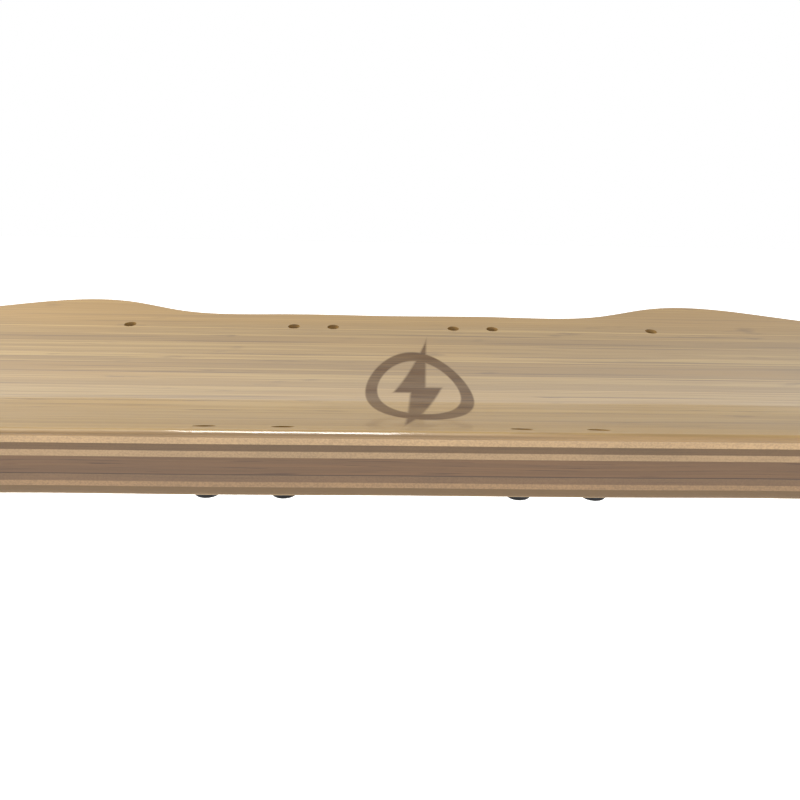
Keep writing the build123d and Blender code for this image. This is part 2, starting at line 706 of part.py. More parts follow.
# The hanger turns about the pivot axis, which runs through the axle's middle, the ring and
# the pivot cup. The kingpin crosses it squarely in the ring, with its nut facing the nose.
turn = math.radians(PIVOT_ANGLE)
AXLE_CENTRE = Vector(AXLE_X, 0, WHEEL_RADIUS)
PIVOT_DIR = Vector(math.cos(turn), 0, math.sin(turn))
KINGPIN_DIR = Vector(math.sin(turn), 0, -math.cos(turn))
RING_CENTRE = AXLE_CENTRE + PIVOT_DIR * RING_REACH
PIVOT_PLANE = Plane(origin=AXLE_CENTRE, x_dir=(0, 1, 0), z_dir=PIVOT_DIR)
KINGPIN_PLANE = Plane(origin=RING_CENTRE, x_dir=(0, 1, 0), z_dir=KINGPIN_DIR)
WING_PLANE = Plane(origin=AXLE_CENTRE, x_dir=(0, 1, 0), z_dir=KINGPIN_DIR)
AXLE_PLANE = Plane(origin=AXLE_CENTRE, x_dir=(1, 0, 0), z_dir=(0, 1, 0))
SIDE_PLANE = Plane(origin=AXLE_CENTRE, x_dir=(1, 0, 0), z_dir=(0, -1, 0))
HALF_RING = RING_THICKNESS / 2
UPPER_SEAT = HALF_RING + 2 * BUSHING_GAP + BUSHING_HEIGHT


def along(reach, offset):
    """A point in the truck's side view: this far along the pivot axis and up across it."""
    x = reach * math.cos(turn) - offset * math.sin(turn)
    return (x, reach * math.sin(turn) + offset * math.cos(turn))


base_z = TRUCK_HEIGHT - BASE_PLATE
with BuildPart() as baseplate:
    with BuildSketch(SIDE_PLANE):
        with BuildLine():
            Polyline(
                (BASE_START + 3, base_z + 1),
                along(RING_REACH - BUSHING_RADIUS - 5, UPPER_SEAT + 5),
                along(RING_REACH - BUSHING_RADIUS - 1, UPPER_SEAT),
                along(RING_REACH + BUSHING_RADIUS, UPPER_SEAT),
                along(CUP_START - 4, UPPER_SEAT + 1),
                along(CUP_START, CUP_RADIUS + 3),
                along(CUP_START, -CUP_RADIUS - 3),
                along(CUP_END - 4, -CUP_RADIUS - 3),
                (BASE_END - 4, base_z + 1),
                close=True,
            )
        make_face()
    extrude(amount=BASE_BODY_HALF, both=True)
    with BuildSketch(Plane.XY.offset(PAD_PLANE_Z)):
        with Locations((BASE_MIDDLE, 0)):
            RectangleRounded(BASE_LENGTH, 2 * BASE_HALF_WIDTH, 6)
    extrude(amount=-BASE_PLATE)
    bar(PIVOT_PLANE, 0, CUP_RADIUS, CUP_START - 8, CUP_END, Mode.SUBTRACT)
    bar(KINGPIN_PLANE, 0, KINGPIN_RADIUS, -KINGPIN_UPPER, 0, Mode.SUBTRACT)
    head_start = KINGPIN_HEAD - KINGPIN_UPPER
    bar(KINGPIN_PLANE, 0, KINGPIN_HEAD_RADIUS, -2 * KINGPIN_UPPER, head_start, Mode.SUBTRACT)
    with Locations(*[(x, y, PAD_PLANE_Z) for x, y in TRUCK_BOLTS if x > 0]):
        Cylinder(BOLT_RADIUS + BOLT_CLEARANCE, 3 * BASE_PLATE, mode=Mode.SUBTRACT)

with BuildPart() as pivot_cup:
    bar(PIVOT_PLANE, 0, CUP_RADIUS, CUP_START, CUP_END)
    bar(PIVOT_PLANE, 0, NOSE_RADIUS + CUP_CLEARANCE, CUP_START, NOSE_END + CUP_CLEARANCE, Mode.SUBTRACT)

lower_washer = HALF_RING + 2 * BUSHING_GAP + BUSHING_HEIGHT
nut_start = lower_washer + WASHER_THICKNESS
nut_end = nut_start + KINGPIN_NUT_HEIGHT
with BuildPart() as kingpin:
    bar(KINGPIN_PLANE, 0, KINGPIN_RADIUS, -KINGPIN_UPPER, nut_end + 1.5)
    bar(KINGPIN_PLANE, 0, KINGPIN_HEAD_RADIUS - CUP_CLEARANCE, -KINGPIN_UPPER, KINGPIN_HEAD - KINGPIN_UPPER)
    fillet(kingpin.faces().sort_by(Axis(RING_CENTRE, KINGPIN_DIR))[-1].edges(), 0.8)

with BuildPart() as kingpin_nut:
    bar(KINGPIN_PLANE, 0, BUSHING_RADIUS + 1, lower_washer, nut_start)
    with BuildSketch(KINGPIN_PLANE.offset(nut_start)):
        RegularPolygon(KINGPIN_NUT_RADIUS, 6)
    extrude(amount=KINGPIN_NUT_HEIGHT)
    bar(KINGPIN_PLANE, 0, KINGPIN_RADIUS, 0, 2 * KINGPIN_UPPER, Mode.SUBTRACT)

with BuildPart() as bushings:
    for start in (-UPPER_SEAT + BUSHING_GAP, HALF_RING + BUSHING_GAP):
        bar(KINGPIN_PLANE, 0, BUSHING_RADIUS, start, start + BUSHING_HEIGHT)
    fillet(bushings.edges().filter_by(GeomType.CIRCLE), 1.5)
    bar(KINGPIN_PLANE, 0, KINGPIN_RADIUS, -KINGPIN_UPPER, KINGPIN_UPPER, Mode.SUBTRACT)


def make_hanger(half_width):
    """The hanger: axle tube, wing, kingpin ring and pivot nose."""
    with BuildPart() as hanger:
        bar(AXLE_PLANE, 0, HANGER_TUBE_RADIUS, -HANGER_CENTRE_HALF, HANGER_CENTRE_HALF)
        taper = half_width - HANGER_CENTRE_HALF
        for side in (-1, 1):
            with BuildSketch(AXLE_PLANE.offset(side * HANGER_CENTRE_HALF)):
                Circle(HANGER_TUBE_RADIUS)
            with BuildSketch(AXLE_PLANE.offset(side * half_width)):
                Circle(HANGER_END_RADIUS)
            loft()
        with BuildSketch(WING_PLANE.offset(-WING_THICKNESS / 2)):
            with BuildLine():
                Polyline(
                    (-WING_HALF_WIDTH, 0),
                    (WING_HALF_WIDTH, 0),
                    (RING_RADIUS - 2, RING_REACH + RING_RADIUS / 3),
                    (2 - RING_RADIUS, RING_REACH + RING_RADIUS / 3),
                    close=True,
                )
            make_face()
        extrude(amount=WING_THICKNESS)
        bar(KINGPIN_PLANE, 0, RING_RADIUS, -HALF_RING, HALF_RING)
        with BuildSketch(PIVOT_PLANE.offset(RING_REACH + RING_RADIUS - 6)):
            Circle(NOSE_ROOT_RADIUS - 3.6)
        with BuildSketch(PIVOT_PLANE.offset(CUP_START)):
            Circle(NOSE_RADIUS)
        loft()
        bar(PIVOT_PLANE, 0, NOSE_RADIUS, CUP_START, NOSE_END)
        fillet(hanger.faces().sort_by(Axis(AXLE_CENTRE, PIVOT_DIR))[-1].edges(), 2)
        bar(KINGPIN_PLANE, 0, RING_BORE, -RING_RADIUS, RING_RADIUS, Mode.SUBTRACT)
        bar(AXLE_PLANE, 0, AXLE_RADIUS, -half_width, half_width, Mode.SUBTRACT)
    return hanger.part


def make_axle(half_length):
    """The axle, with a small lead at each end."""
    with BuildPart() as axle:
        bar(AXLE_PLANE, 0, AXLE_RADIUS, -half_length, half_length)
        chamfer(axle.edges().filter_by(GeomType.CIRCLE), 0.6)
    return axle.part


bearing_inner = WHEEL_Y - BEARING_SPACING / 2 - BEARING_WIDTH
bearing_outer = WHEEL_Y + BEARING_SPACING / 2 + BEARING_WIDTH
FRONT_HALF = bearing_inner - SIDE_GAP - AXLE_WASHER
AXLE_NUT_START = bearing_outer + SIDE_GAP + AXLE_WASHER
FRONT_AXLE_HALF = AXLE_NUT_START + AXLE_NUT_HEIGHT + 1
CAN_START = WHEEL_Y - CAN_WIDTH / 2
CAN_STOP = WHEEL_Y + CAN_WIDTH / 2
REAR_HALF = CAN_START - REAR_HANGER_GAP
REAR_AXLE_HALF = CAN_STOP - MOTOR_SHAFT_INSET

for end in ("front", "rear"):
    save(to_end(baseplate.part, end), f"{end}_baseplate")
    save(to_end(pivot_cup.part, end), f"{end}_pivot_cup")
    save(to_end(kingpin.part, end), f"{end}_kingpin")
    save(to_end(kingpin_nut.part, end), f"{end}_kingpin_nut")
    save(to_end(bushings.part, end), f"{end}_bushings")
save(make_hanger(FRONT_HALF), "front_hanger")
save(to_end(make_hanger(REAR_HALF), "rear"), "rear_hanger")
save(make_axle(FRONT_AXLE_HALF), "front_axle")
save(to_end(make_axle(REAR_AXLE_HALF), "rear"), "rear_axle")

with BuildPart() as axle_hardware:
    for side in (-1, 1):
        bar(AXLE_PLANE, 0, SPACER_RADIUS, side * FRONT_HALF, side * (FRONT_HALF + AXLE_WASHER))
        inner = WHEEL_Y - BEARING_SPACING / 2 + SIDE_GAP
        outer = WHEEL_Y + BEARING_SPACING / 2 - SIDE_GAP
        bar(AXLE_PLANE, 0, SPACER_RADIUS, side * inner, side * outer)
        bar(AXLE_PLANE, 0, SPACER_RADIUS, side * (AXLE_NUT_START - AXLE_WASHER), side * AXLE_NUT_START)
        with BuildSketch(AXLE_PLANE.offset(side * AXLE_NUT_START)):
            RegularPolygon(AXLE_NUT_RADIUS, 6)
        extrude(amount=side * AXLE_NUT_HEIGHT)
    bar(AXLE_PLANE, 0, AXLE_RADIUS, -2 * WHEEL_Y, 2 * WHEEL_Y, Mode.SUBTRACT)
save(axle_hardware.part, "front_axle_hardware")

# ---------------------------------------------------------------- wheels


def make_tyre(seat_radius):
    """A urethane tyre with rounded shoulders, on a round seat."""
    with BuildPart() as tyre:
        bar(AXLE_PLANE, 0, WHEEL_RADIUS, WHEEL_Y - WHEEL_WIDTH / 2, WHEEL_Y + WHEEL_WIDTH / 2)
        fillet(tyre.edges().filter_by(GeomType.CIRCLE), min(TYRE_ROUND, WHEEL_RADIUS - seat_radius - 1))
        bar(AXLE_PLANE, 0, seat_radius, 0, 2 * WHEEL_Y, Mode.SUBTRACT)
    return tyre.part


with BuildPart() as wheel_core:
    bar(AXLE_PLANE, 0, CORE_RADIUS, WHEEL_Y - CORE_WIDTH / 2, WHEEL_Y + CORE_WIDTH / 2)
    rim = CORE_RADIUS - CORE_RIM
    for side in (-1, 1):
        web = WHEEL_Y + side * CORE_WEB / 2
        face = WHEEL_Y + side * CORE_WIDTH
        bar(AXLE_PLANE, 0, rim, web, face, Mode.SUBTRACT)
        bar(AXLE_PLANE, 0, CORE_HUB_RADIUS, WHEEL_Y, WHEEL_Y + side * (BEARING_SPACING / 2 + BEARING_WIDTH))
    window_circle = (rim + CORE_HUB_RADIUS) / 2
    with BuildSketch(AXLE_PLANE.offset(WHEEL_Y - CORE_WEB)):
        with PolarLocations(window_circle, CORE_WINDOWS):
            Circle(CORE_WINDOW_RADIUS)
    extrude(amount=2 * CORE_WEB, mode=Mode.SUBTRACT)
    bar(AXLE_PLANE, 0, BEARING_RADIUS, 0, WHEEL_Y - BEARING_SPACING / 2, Mode.SUBTRACT)
    bar(AXLE_PLANE, 0, BEARING_RADIUS, WHEEL_Y + BEARING_SPACING / 2, 2 * WHEEL_Y, Mode.SUBTRACT)
    bar(AXLE_PLANE, 0, BEARING_RADIUS - 2, 0, 2 * WHEEL_Y, Mode.SUBTRACT)

with BuildPart() as bearings:
    for start in (bearing_inner, bearing_outer - BEARING_WIDTH):
        bar(AXLE_PLANE, 0, BEARING_RADIUS, start, start + BEARING_WIDTH)
    bar(AXLE_PLANE, 0, AXLE_RADIUS + RUNNING_GAP, 0, 2 * WHEEL_Y, Mode.SUBTRACT)

# The hub motor: a can that turns with the tyre, round a stator fixed to the hanger
with BuildPart() as motor_can:
    bar(AXLE_PLANE, 0, CAN_RADIUS, CAN_START, CAN_STOP - CAN_END)
    bar(AXLE_PLANE, 0, CAN_RADIUS - CAN_WALL, CAN_START + CAN_END, CAN_STOP, Mode.SUBTRACT)
    bar(AXLE_PLANE, 0, MOTOR_BEARING_SEAT, CAN_START, CAN_START + MOTOR_BEARING_WIDTH)
    bar(AXLE_PLANE, 0, MOTOR_BEARING_RADIUS, CAN_START, CAN_START + MOTOR_BEARING_WIDTH, Mode.SUBTRACT)

OUTER_BEARING = CAN_STOP - CAN_END - MOTOR_BEARING_WIDTH
with BuildPart() as motor_cover:
    bar(AXLE_PLANE, 0, CAN_RADIUS, CAN_STOP - CAN_END, CAN_STOP)
    chamfer(motor_cover.edges().sort_by(Axis.Y)[-1], 1.5)
    bar(AXLE_PLANE, 0, MOTOR_BEARING_SEAT, OUTER_BEARING, CAN_STOP - CAN_END)
    bar(AXLE_PLANE, 0, MOTOR_BEARING_RADIUS, OUTER_BEARING, CAN_STOP - CAN_END, Mode.SUBTRACT)
    bar(AXLE_PLANE, 0, MOTOR_BEARING_RADIUS - 3, CAN_STOP - CAN_END, CAN_STOP - CAN_END + 2, Mode.SUBTRACT)

with BuildPart() as motor_bearings:
    for start in (CAN_START, OUTER_BEARING):
        bar(AXLE_PLANE, 0, MOTOR_BEARING_RADIUS, start, start + MOTOR_BEARING_WIDTH)
    bar(AXLE_PLANE, 0, STATOR_SHAFT_RADIUS + RUNNING_GAP, 0, 2 * WHEEL_Y, Mode.SUBTRACT)

stator_start = CAN_START + MOTOR_BEARING_WIDTH + STATOR_GAP
stator_stop = OUTER_BEARING - STATOR_GAP
with BuildPart() as stator:
    bar(AXLE_PLANE, 0, STATOR_RADIUS, stator_start, stator_stop)
    with BuildSketch(AXLE_PLANE.offset(stator_start)):
        with PolarLocations(STATOR_RADIUS * 0.75, STATOR_SLOTS):
            SlotOverall(STATOR_RADIUS * 0.62, STATOR_RADIUS * 0.09)
    extrude(amount=stator_stop - stator_start, mode=Mode.SUBTRACT)
    bar(AXLE_PLANE, 0, STATOR_SHAFT_RADIUS, REAR_HALF, REAR_AXLE_HALF)
    bar(AXLE_PLANE, 0, AXLE_RADIUS, 0, 2 * WHEEL_Y, Mode.SUBTRACT)

for side in ("left", "right"):
    save(to_side(make_tyre(CORE_RADIUS), side), f"front_{side}_tyre")
    save(to_side(wheel_core.part, side), f"front_{side}_core")
    save(to_side(bearings.part, side), f"front_{side}_bearings")
    for piece, name in (
        (make_tyre(CAN_RADIUS), "tyre"),
        (motor_can.part, "motor_can"),
        (motor_cover.part, "motor_cover"),
        (motor_bearings.part, "motor_bearings"),
        (stator.part, "stator"),
    ):
        save(to_side(to_end(piece, "rear"), side), f"rear_{side}_{name}")
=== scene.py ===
import json
import math

import bmesh
import bpy
from mathutils import Matrix, Vector

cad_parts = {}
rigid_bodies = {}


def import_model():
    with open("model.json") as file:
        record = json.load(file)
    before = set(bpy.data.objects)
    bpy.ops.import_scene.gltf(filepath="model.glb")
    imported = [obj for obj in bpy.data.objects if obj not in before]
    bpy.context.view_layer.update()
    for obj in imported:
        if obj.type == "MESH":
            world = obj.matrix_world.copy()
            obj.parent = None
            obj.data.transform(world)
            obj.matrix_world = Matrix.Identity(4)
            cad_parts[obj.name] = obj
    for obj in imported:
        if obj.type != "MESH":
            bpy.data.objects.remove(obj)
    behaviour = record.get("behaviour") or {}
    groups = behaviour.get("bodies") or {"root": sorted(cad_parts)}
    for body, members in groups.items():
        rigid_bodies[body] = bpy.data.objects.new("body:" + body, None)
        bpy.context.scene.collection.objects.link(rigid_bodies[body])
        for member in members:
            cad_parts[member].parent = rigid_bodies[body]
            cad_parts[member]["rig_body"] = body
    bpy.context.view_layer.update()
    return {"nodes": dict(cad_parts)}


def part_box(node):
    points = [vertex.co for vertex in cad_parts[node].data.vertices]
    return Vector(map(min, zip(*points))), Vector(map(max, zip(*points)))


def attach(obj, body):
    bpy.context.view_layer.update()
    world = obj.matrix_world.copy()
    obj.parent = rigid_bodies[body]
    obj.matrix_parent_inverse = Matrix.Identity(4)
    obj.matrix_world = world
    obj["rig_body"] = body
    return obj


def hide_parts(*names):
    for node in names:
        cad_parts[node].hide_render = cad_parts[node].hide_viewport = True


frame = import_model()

bl_info = {
    "name": "Electric skateboard",
    "version": (1, 0, 0),
    "blender": (4, 5, 0),
    "location": "View3D > Sidebar > Skateboard",
    "description": "Finishes a bamboo-decked electric skateboard on its CAD frame",
    "category": "Object",
}

SIDES = (("left", 1), ("right", -1))
SHARP_ANGLE = 0.7

# Fixed sizes of bought-in parts, in metres
BEARING_RADIUS = 0.011
BEARING_BORE = 0.00405
BEARING_WIDTH = 0.007
BEARING_DISH = 0.0005
STATOR_SHAFT = 0.00605
WINDING_RADIUS = 0.030
CELL_HALF_LENGTH = 0.0645
CELL_END_GAP = 0.0012
BUTTON_RING_RADIUS = 0.0042
BUTTON_RING_HALF = 0.0006

# Front cores: rim, web, hub and the step that the bearings sit against
CORE_RIM_WALL = 0.0034
CORE_WEB_HALF = 0.0022
CORE_HUB_RADIUS = 0.015
CORE_HUB_HALF = 0.0122
CORE_STEP = 0.002
CORE_STEP_HALF = 0.005
CORE_SPOKE_INSET = 0.005
CORE_OVERLAP = 0.001

# Motor covers: plate, boss, raised rim, centre cap, ribs and screws
MOTOR_BEARING_WIDTH = 0.008
MOTOR_BEARING_HOLE = 0.014
MOTOR_BOSS = 0.017
COVER_PLATE = 0.004
COVER_RIM = 0.0045
COVER_RIM_CHAMFER = 0.0012
COVER_RIM_SLOPE = 0.0013
COVER_SINK = 0.0014
CAP_RADIUS = 0.0125
CAP_SLOPE = 0.001
CAP_SINK = 0.0002
CAP_THICKNESS = 0.002
CAP_LEDGE = 0.003
RIB_SIZE = (0.0155, 0.0026, 0.0018)
RIB_MIDDLE = 0.0228
RIB_SINK = 0.0012
COVER_SCREWS = 6
SCREW_CIRCLE = 0.0285
SCREW_SOCKET_RADIUS = 0.0012
SCREW_SOCKET_DEPTH = 0.0009
SCREW_HEAD_RADIUS = 0.0024
SCREW_HEAD_HEIGHT = 0.0012
SCREW_SINK = 0.0003

# Tyre sections: the lip at the seat, the side's dish and the tread's grooves
LIP_CHAMFER = (0.0012, 0.0015)
LIP_FLAT = 0.0013
SIDE_DISH = 0.001
SIDE_RISE = 0.0002
GROOVE_PLACE = 0.32
GROOVE_TOP_HALF = 0.0012
GROOVE_FLOOR_HALF = 0.0007


# ------------------------------------------------------------------ small helpers


def node_object(name):
    """The CAD object of that name."""
    return frame["nodes"][name]


def middle(name):
    """The middle of a CAD node's box."""
    low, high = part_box(name)
    return (Vector(low) + Vector(high)) / 2


def linear(colour):
    """A display colour, 0 to 1, as the linear colour that shaders use."""
    steps = [c / 12.92 if c <= 0.04045 else ((c + 0.055) / 1.055) ** 2.4 for c in colour]
    return (*steps, 1.0)


def toned(colour, gain, lift=0.0):
    """A display colour made lighter or darker, as a linear colour."""
    return linear([min(1.0, c * gain + lift) for c in colour])


def deck_surface(context):
    """Height of the deck's top surface along its middle."""
    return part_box("veneer_top")[0].z + context.scene.skateboard_deck.top_layer


def paint(material, *names):
    """Gives CAD nodes or pieces this material and nothing else."""
    for name in names:
        target = bpy.data.objects[name]
        target.data.materials.clear()
        target.data.materials.append(material)


class Finish:
    """One procedural material, built from a few named kinds of node."""

    def __init__(self, name, **shader):
        self.material = bpy.data.materials.new(name)
        self.material.use_nodes = True
        self.tree = self.material.node_tree
        self.shader = self.tree.nodes["Principled BSDF"]
        self.place = self.add("ShaderNodeTexCoord").outputs["Object"]
        for socket, value in shader.items():
            self.feed(self.shader.inputs[socket.replace("_", " ")], value)

    def add(self, kind, inputs=None, **settings):
        """Adds a node with these settings and inputs."""
        node = self.tree.nodes.new(kind)
        for key, value in settings.items():
            setattr(node, key, value)
        for key, value in (inputs or {}).items():
            self.feed(node.inputs[key], value)
        return node

    def feed(self, socket, value):
        """Links a socket to another, or sets its value."""
        if isinstance(value, bpy.types.NodeSocket):
            self.tree.links.new(value, socket)
        else:
            socket.default_value = value

    def stretch(self, scale, shift=(0, 0, 0)):
        """The object's coordinates, scaled by axis."""
        node = self.add("ShaderNodeMapping", {"Vector": self.place, "Scale": scale, "Location": shift})
        return node.outputs["Vector"]

    def noise(self, scale, detail=3.0, roughness=0.5, shift=(0, 0, 0)):
        """Noise with its own scale along each axis, from about 0.25 to 0.75."""
        return self.noise_over(self.stretch(scale, shift), detail, roughness)

    def noise_over(self, vector, detail, roughness=0.5):
        """Noise over a vector that is scaled already."""
        inputs = {"Vector": vector, "Scale": 1.0, "Detail": detail, "Roughness": roughness}
        return self.add("ShaderNodeTexNoise", inputs).outputs["Fac"]

    def spread(self, value, low, high, to_low=0.0, to_high=1.0, smooth=True):
        """Maps a range of values to another, clamped at both ends."""
        kind = "SMOOTHSTEP" if smooth else "LINEAR"
        inputs = {"Value": value, "From Min": low, "From Max": high, "To Min": to_low, "To Max": to_high}
        return self.add("ShaderNodeMapRange", inputs, interpolation_type=kind).outputs["Result"]

    def calc(self, operation, first, second=0.0):
        """One arithmetic step."""
        node = self.add("ShaderNodeMath", operation=operation)
        self.feed(node.inputs[0], first)
        self.feed(node.inputs[1], second)
        return node.outputs[0]

    def mix(self, share, first, second):
        """Mixes two colours."""
        node = self.add("ShaderNodeMix", data_type="RGBA")
        self.feed(node.inputs[0], share)
        self.feed(node.inputs[6], first)
        self.feed(node.inputs[7], second)
        return node.outputs[2]

    def shade(self, value, low, high, first, second):
        """Runs from one display colour to another over a range of values."""
        return self.mix(self.spread(value, low, high), linear(first), linear(second))

    def across(self, axis):
        """One of the object's coordinates."""
        return self.add("ShaderNodeSeparateXYZ", {"Vector": self.place}).outputs[axis]

    def emboss(self, height, depth, edge=0.0):
        """Raises the surface by a height pattern and softens edges, both in metres."""
        bump = self.add("ShaderNodeBump", {"Height": height, "Strength": 1.0, "Distance": depth})
        if edge:
            bevel = self.add("ShaderNodeBevel", {"Radius": edge}, samples=4)
            self.feed(bump.inputs["Normal"], bevel.outputs["Normal"])
        self.feed(self.shader.inputs["Normal"], bump.outputs["Normal"])

    def length(self, first, second):
        """How far a point with these two coordinates is from zero."""
        squares = [self.calc("MULTIPLY", value, value) for value in (first, second)]
        return self.calc("SQRT", self.calc("ADD", *squares))

    def surface(self, socket, value):
        """Sets or links one of the shader's own sockets."""
        self.feed(self.shader.inputs[socket], value)

    def colour(self, value):
        """Sets the base colour."""
        self.surface("Base Color", value)


# ------------------------------------------------------------------ shapes


class Shape:
    """A mesh built up from turned and boxed parts about the Z axis, then placed."""

    def __init__(self):
        self.bm = bmesh.new()

    def turned(self, profile, steps=96, edge=0.0006, place=(0, 0, 0)):
        """Turns a closed outline of (radius, height) points about Z, rounds its rims and moves it."""
        part = bmesh.new()
        points = [part.verts.new((radius, 0.0, height)) for radius, height in profile]
        lines = [part.edges.new(pair) for pair in zip(points, points[1:] + points[:1])]
        bmesh.ops.spin(
            part,
            geom=points + lines,
            cent=(0, 0, 0),
            axis=(0, 0, 1),
            angle=2 * math.pi,
            steps=steps,
            use_merge=True,
        )
        bmesh.ops.remove_doubles(part, verts=part.verts[:], dist=1e-6)
        bmesh.ops.translate(part, vec=place, verts=part.verts[:])
        self.join(part, edge)
        return self

    def block(self, size, place, edge=0.0006, turn=0.0):
        """Adds a box with rounded edges, turned about Z after it is placed."""
        part = bmesh.new()
        bmesh.ops.create_cube(part, size=1.0)
        bmesh.ops.scale(part, vec=size, verts=part.verts[:])
        bmesh.ops.translate(part, vec=place, verts=part.verts[:])
        bmesh.ops.rotate(part, cent=(0, 0, 0), matrix=Matrix.Rotation(turn, 3, "Z"), verts=part.verts[:])
        self.join(part, edge)
        return self

    def join(self, part, edge):
        """Rounds a part's sharp edges and adds it to the shape."""
        sharp = [e for e in part.edges if len(e.link_faces) == 2 and e.calc_face_angle(0.0) > 0.45]
        if edge and sharp:
            bmesh.ops.bevel(
                part,
                geom=sharp,
                offset=edge,
                offset_type="OFFSET",
                segments=2,
                profile=0.5,
                affect="EDGES",
                clamp_overlap=True,
                material=-1,
            )
        bmesh.ops.recalc_face_normals(part, faces=part.faces[:])
        mesh = bpy.data.meshes.new("part")
        part.to_mesh(mesh)
        part.free()
        self.bm.from_mesh(mesh)
        bpy.data.meshes.remove(mesh)

    def place(self, name, matrix, material, node):
        """Makes the piece that stands for a CAD node."""
        bmesh.ops.transform(self.bm, matrix=matrix, verts=self.bm.verts[:])
        if matrix.determinant() < 0:
            bmesh.ops.reverse_faces(self.bm, faces=self.bm.faces[:])
        piece = new_piece(name, self.bm, material)
        piece.data.shade_smooth()
        piece.data.set_sharp_from_angle(angle=SHARP_ANGLE)
        stand_in(piece, node)


def new_piece(name, bm, material):
    """A new object with this shape and material."""
    mesh = bpy.data.meshes.new(name)
    bm.to_mesh(mesh)
    bm.free()
    mesh.materials.append(material)
    piece = bpy.data.objects.new(name, mesh)
    bpy.context.scene.collection.objects.link(piece)
    return piece


def stand_in(piece, node):
    """The piece takes a CAD node's place: its body."""
    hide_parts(node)
    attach(piece, node_object(node)["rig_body"])


def cast_copy(name, node, material, voxel):
    """A softened copy of a CAD node, with the small radii that a casting has."""
    bm = bmesh.new()
    bm.from_mesh(node_object(node).data)
    bmesh.ops.remove_doubles(bm, verts=bm.verts[:], dist=1e-6)
    piece = new_piece(name, bm, material)
    remesh = piece.modifiers.new("casting", "REMESH")
    remesh.mode = "VOXEL"
    remesh.voxel_size = voxel
    remesh.use_smooth_shade = True
    soften = piece.modifiers.new("softened", "SMOOTH")
    soften.factor = 0.5
    soften.iterations = 6
    stand_in(piece, node)


def along_y(centre, side):
    """Turns a shape's Z axis outboard along Y, about a point."""
    turn = Matrix.Rotation(-side * math.pi / 2, 4, "X")
    return Matrix.Translation(centre) @ turn


# ------------------------------------------------------------------ wood


def bolt_mark(finish, centre, radius):
    """A burned ring with a zigzag bolt in it, as a mask from 0 to 1 over the deck's plan."""
    across_x = finish.calc("SUBTRACT", finish.across("X"), centre[0])
    across_y = finish.calc("SUBTRACT", finish.across("Y"), centre[1])
    u = finish.calc("DIVIDE", across_x, radius[0])
    v = finish.calc("DIVIDE", across_y, radius[1])
    soft = 0.035

    def inside(a, b, c):
        """1 where a*u + b*v is over c."""
        part = finish.calc("ADD", finish.calc("MULTIPLY", u, a), finish.calc("MULTIPLY", v, b))
        return finish.spread(part, c - soft, c + soft)

    def all_of(*masks):
        """1 where every mask is."""
        result = masks[0]
        for mask in masks[1:]:
            result = finish.calc("MINIMUM", result, mask)
        return result

    distance = finish.length(u, v)
    ring = all_of(finish.spread(distance, 0.74, 0.78), finish.spread(distance, 1.0, 0.96))
    upper = all_of(inside(0, 1, -0.08), inside(1, -0.62, -0.42), inside(-1, 0.18, -0.14))
    lower = all_of(inside(0, -1, -0.08), inside(-1, 0.62, -0.42), inside(1, -0.18, -0.14))
    return finish.calc("MAXIMUM", ring, finish.calc("MAXIMUM", upper, lower))


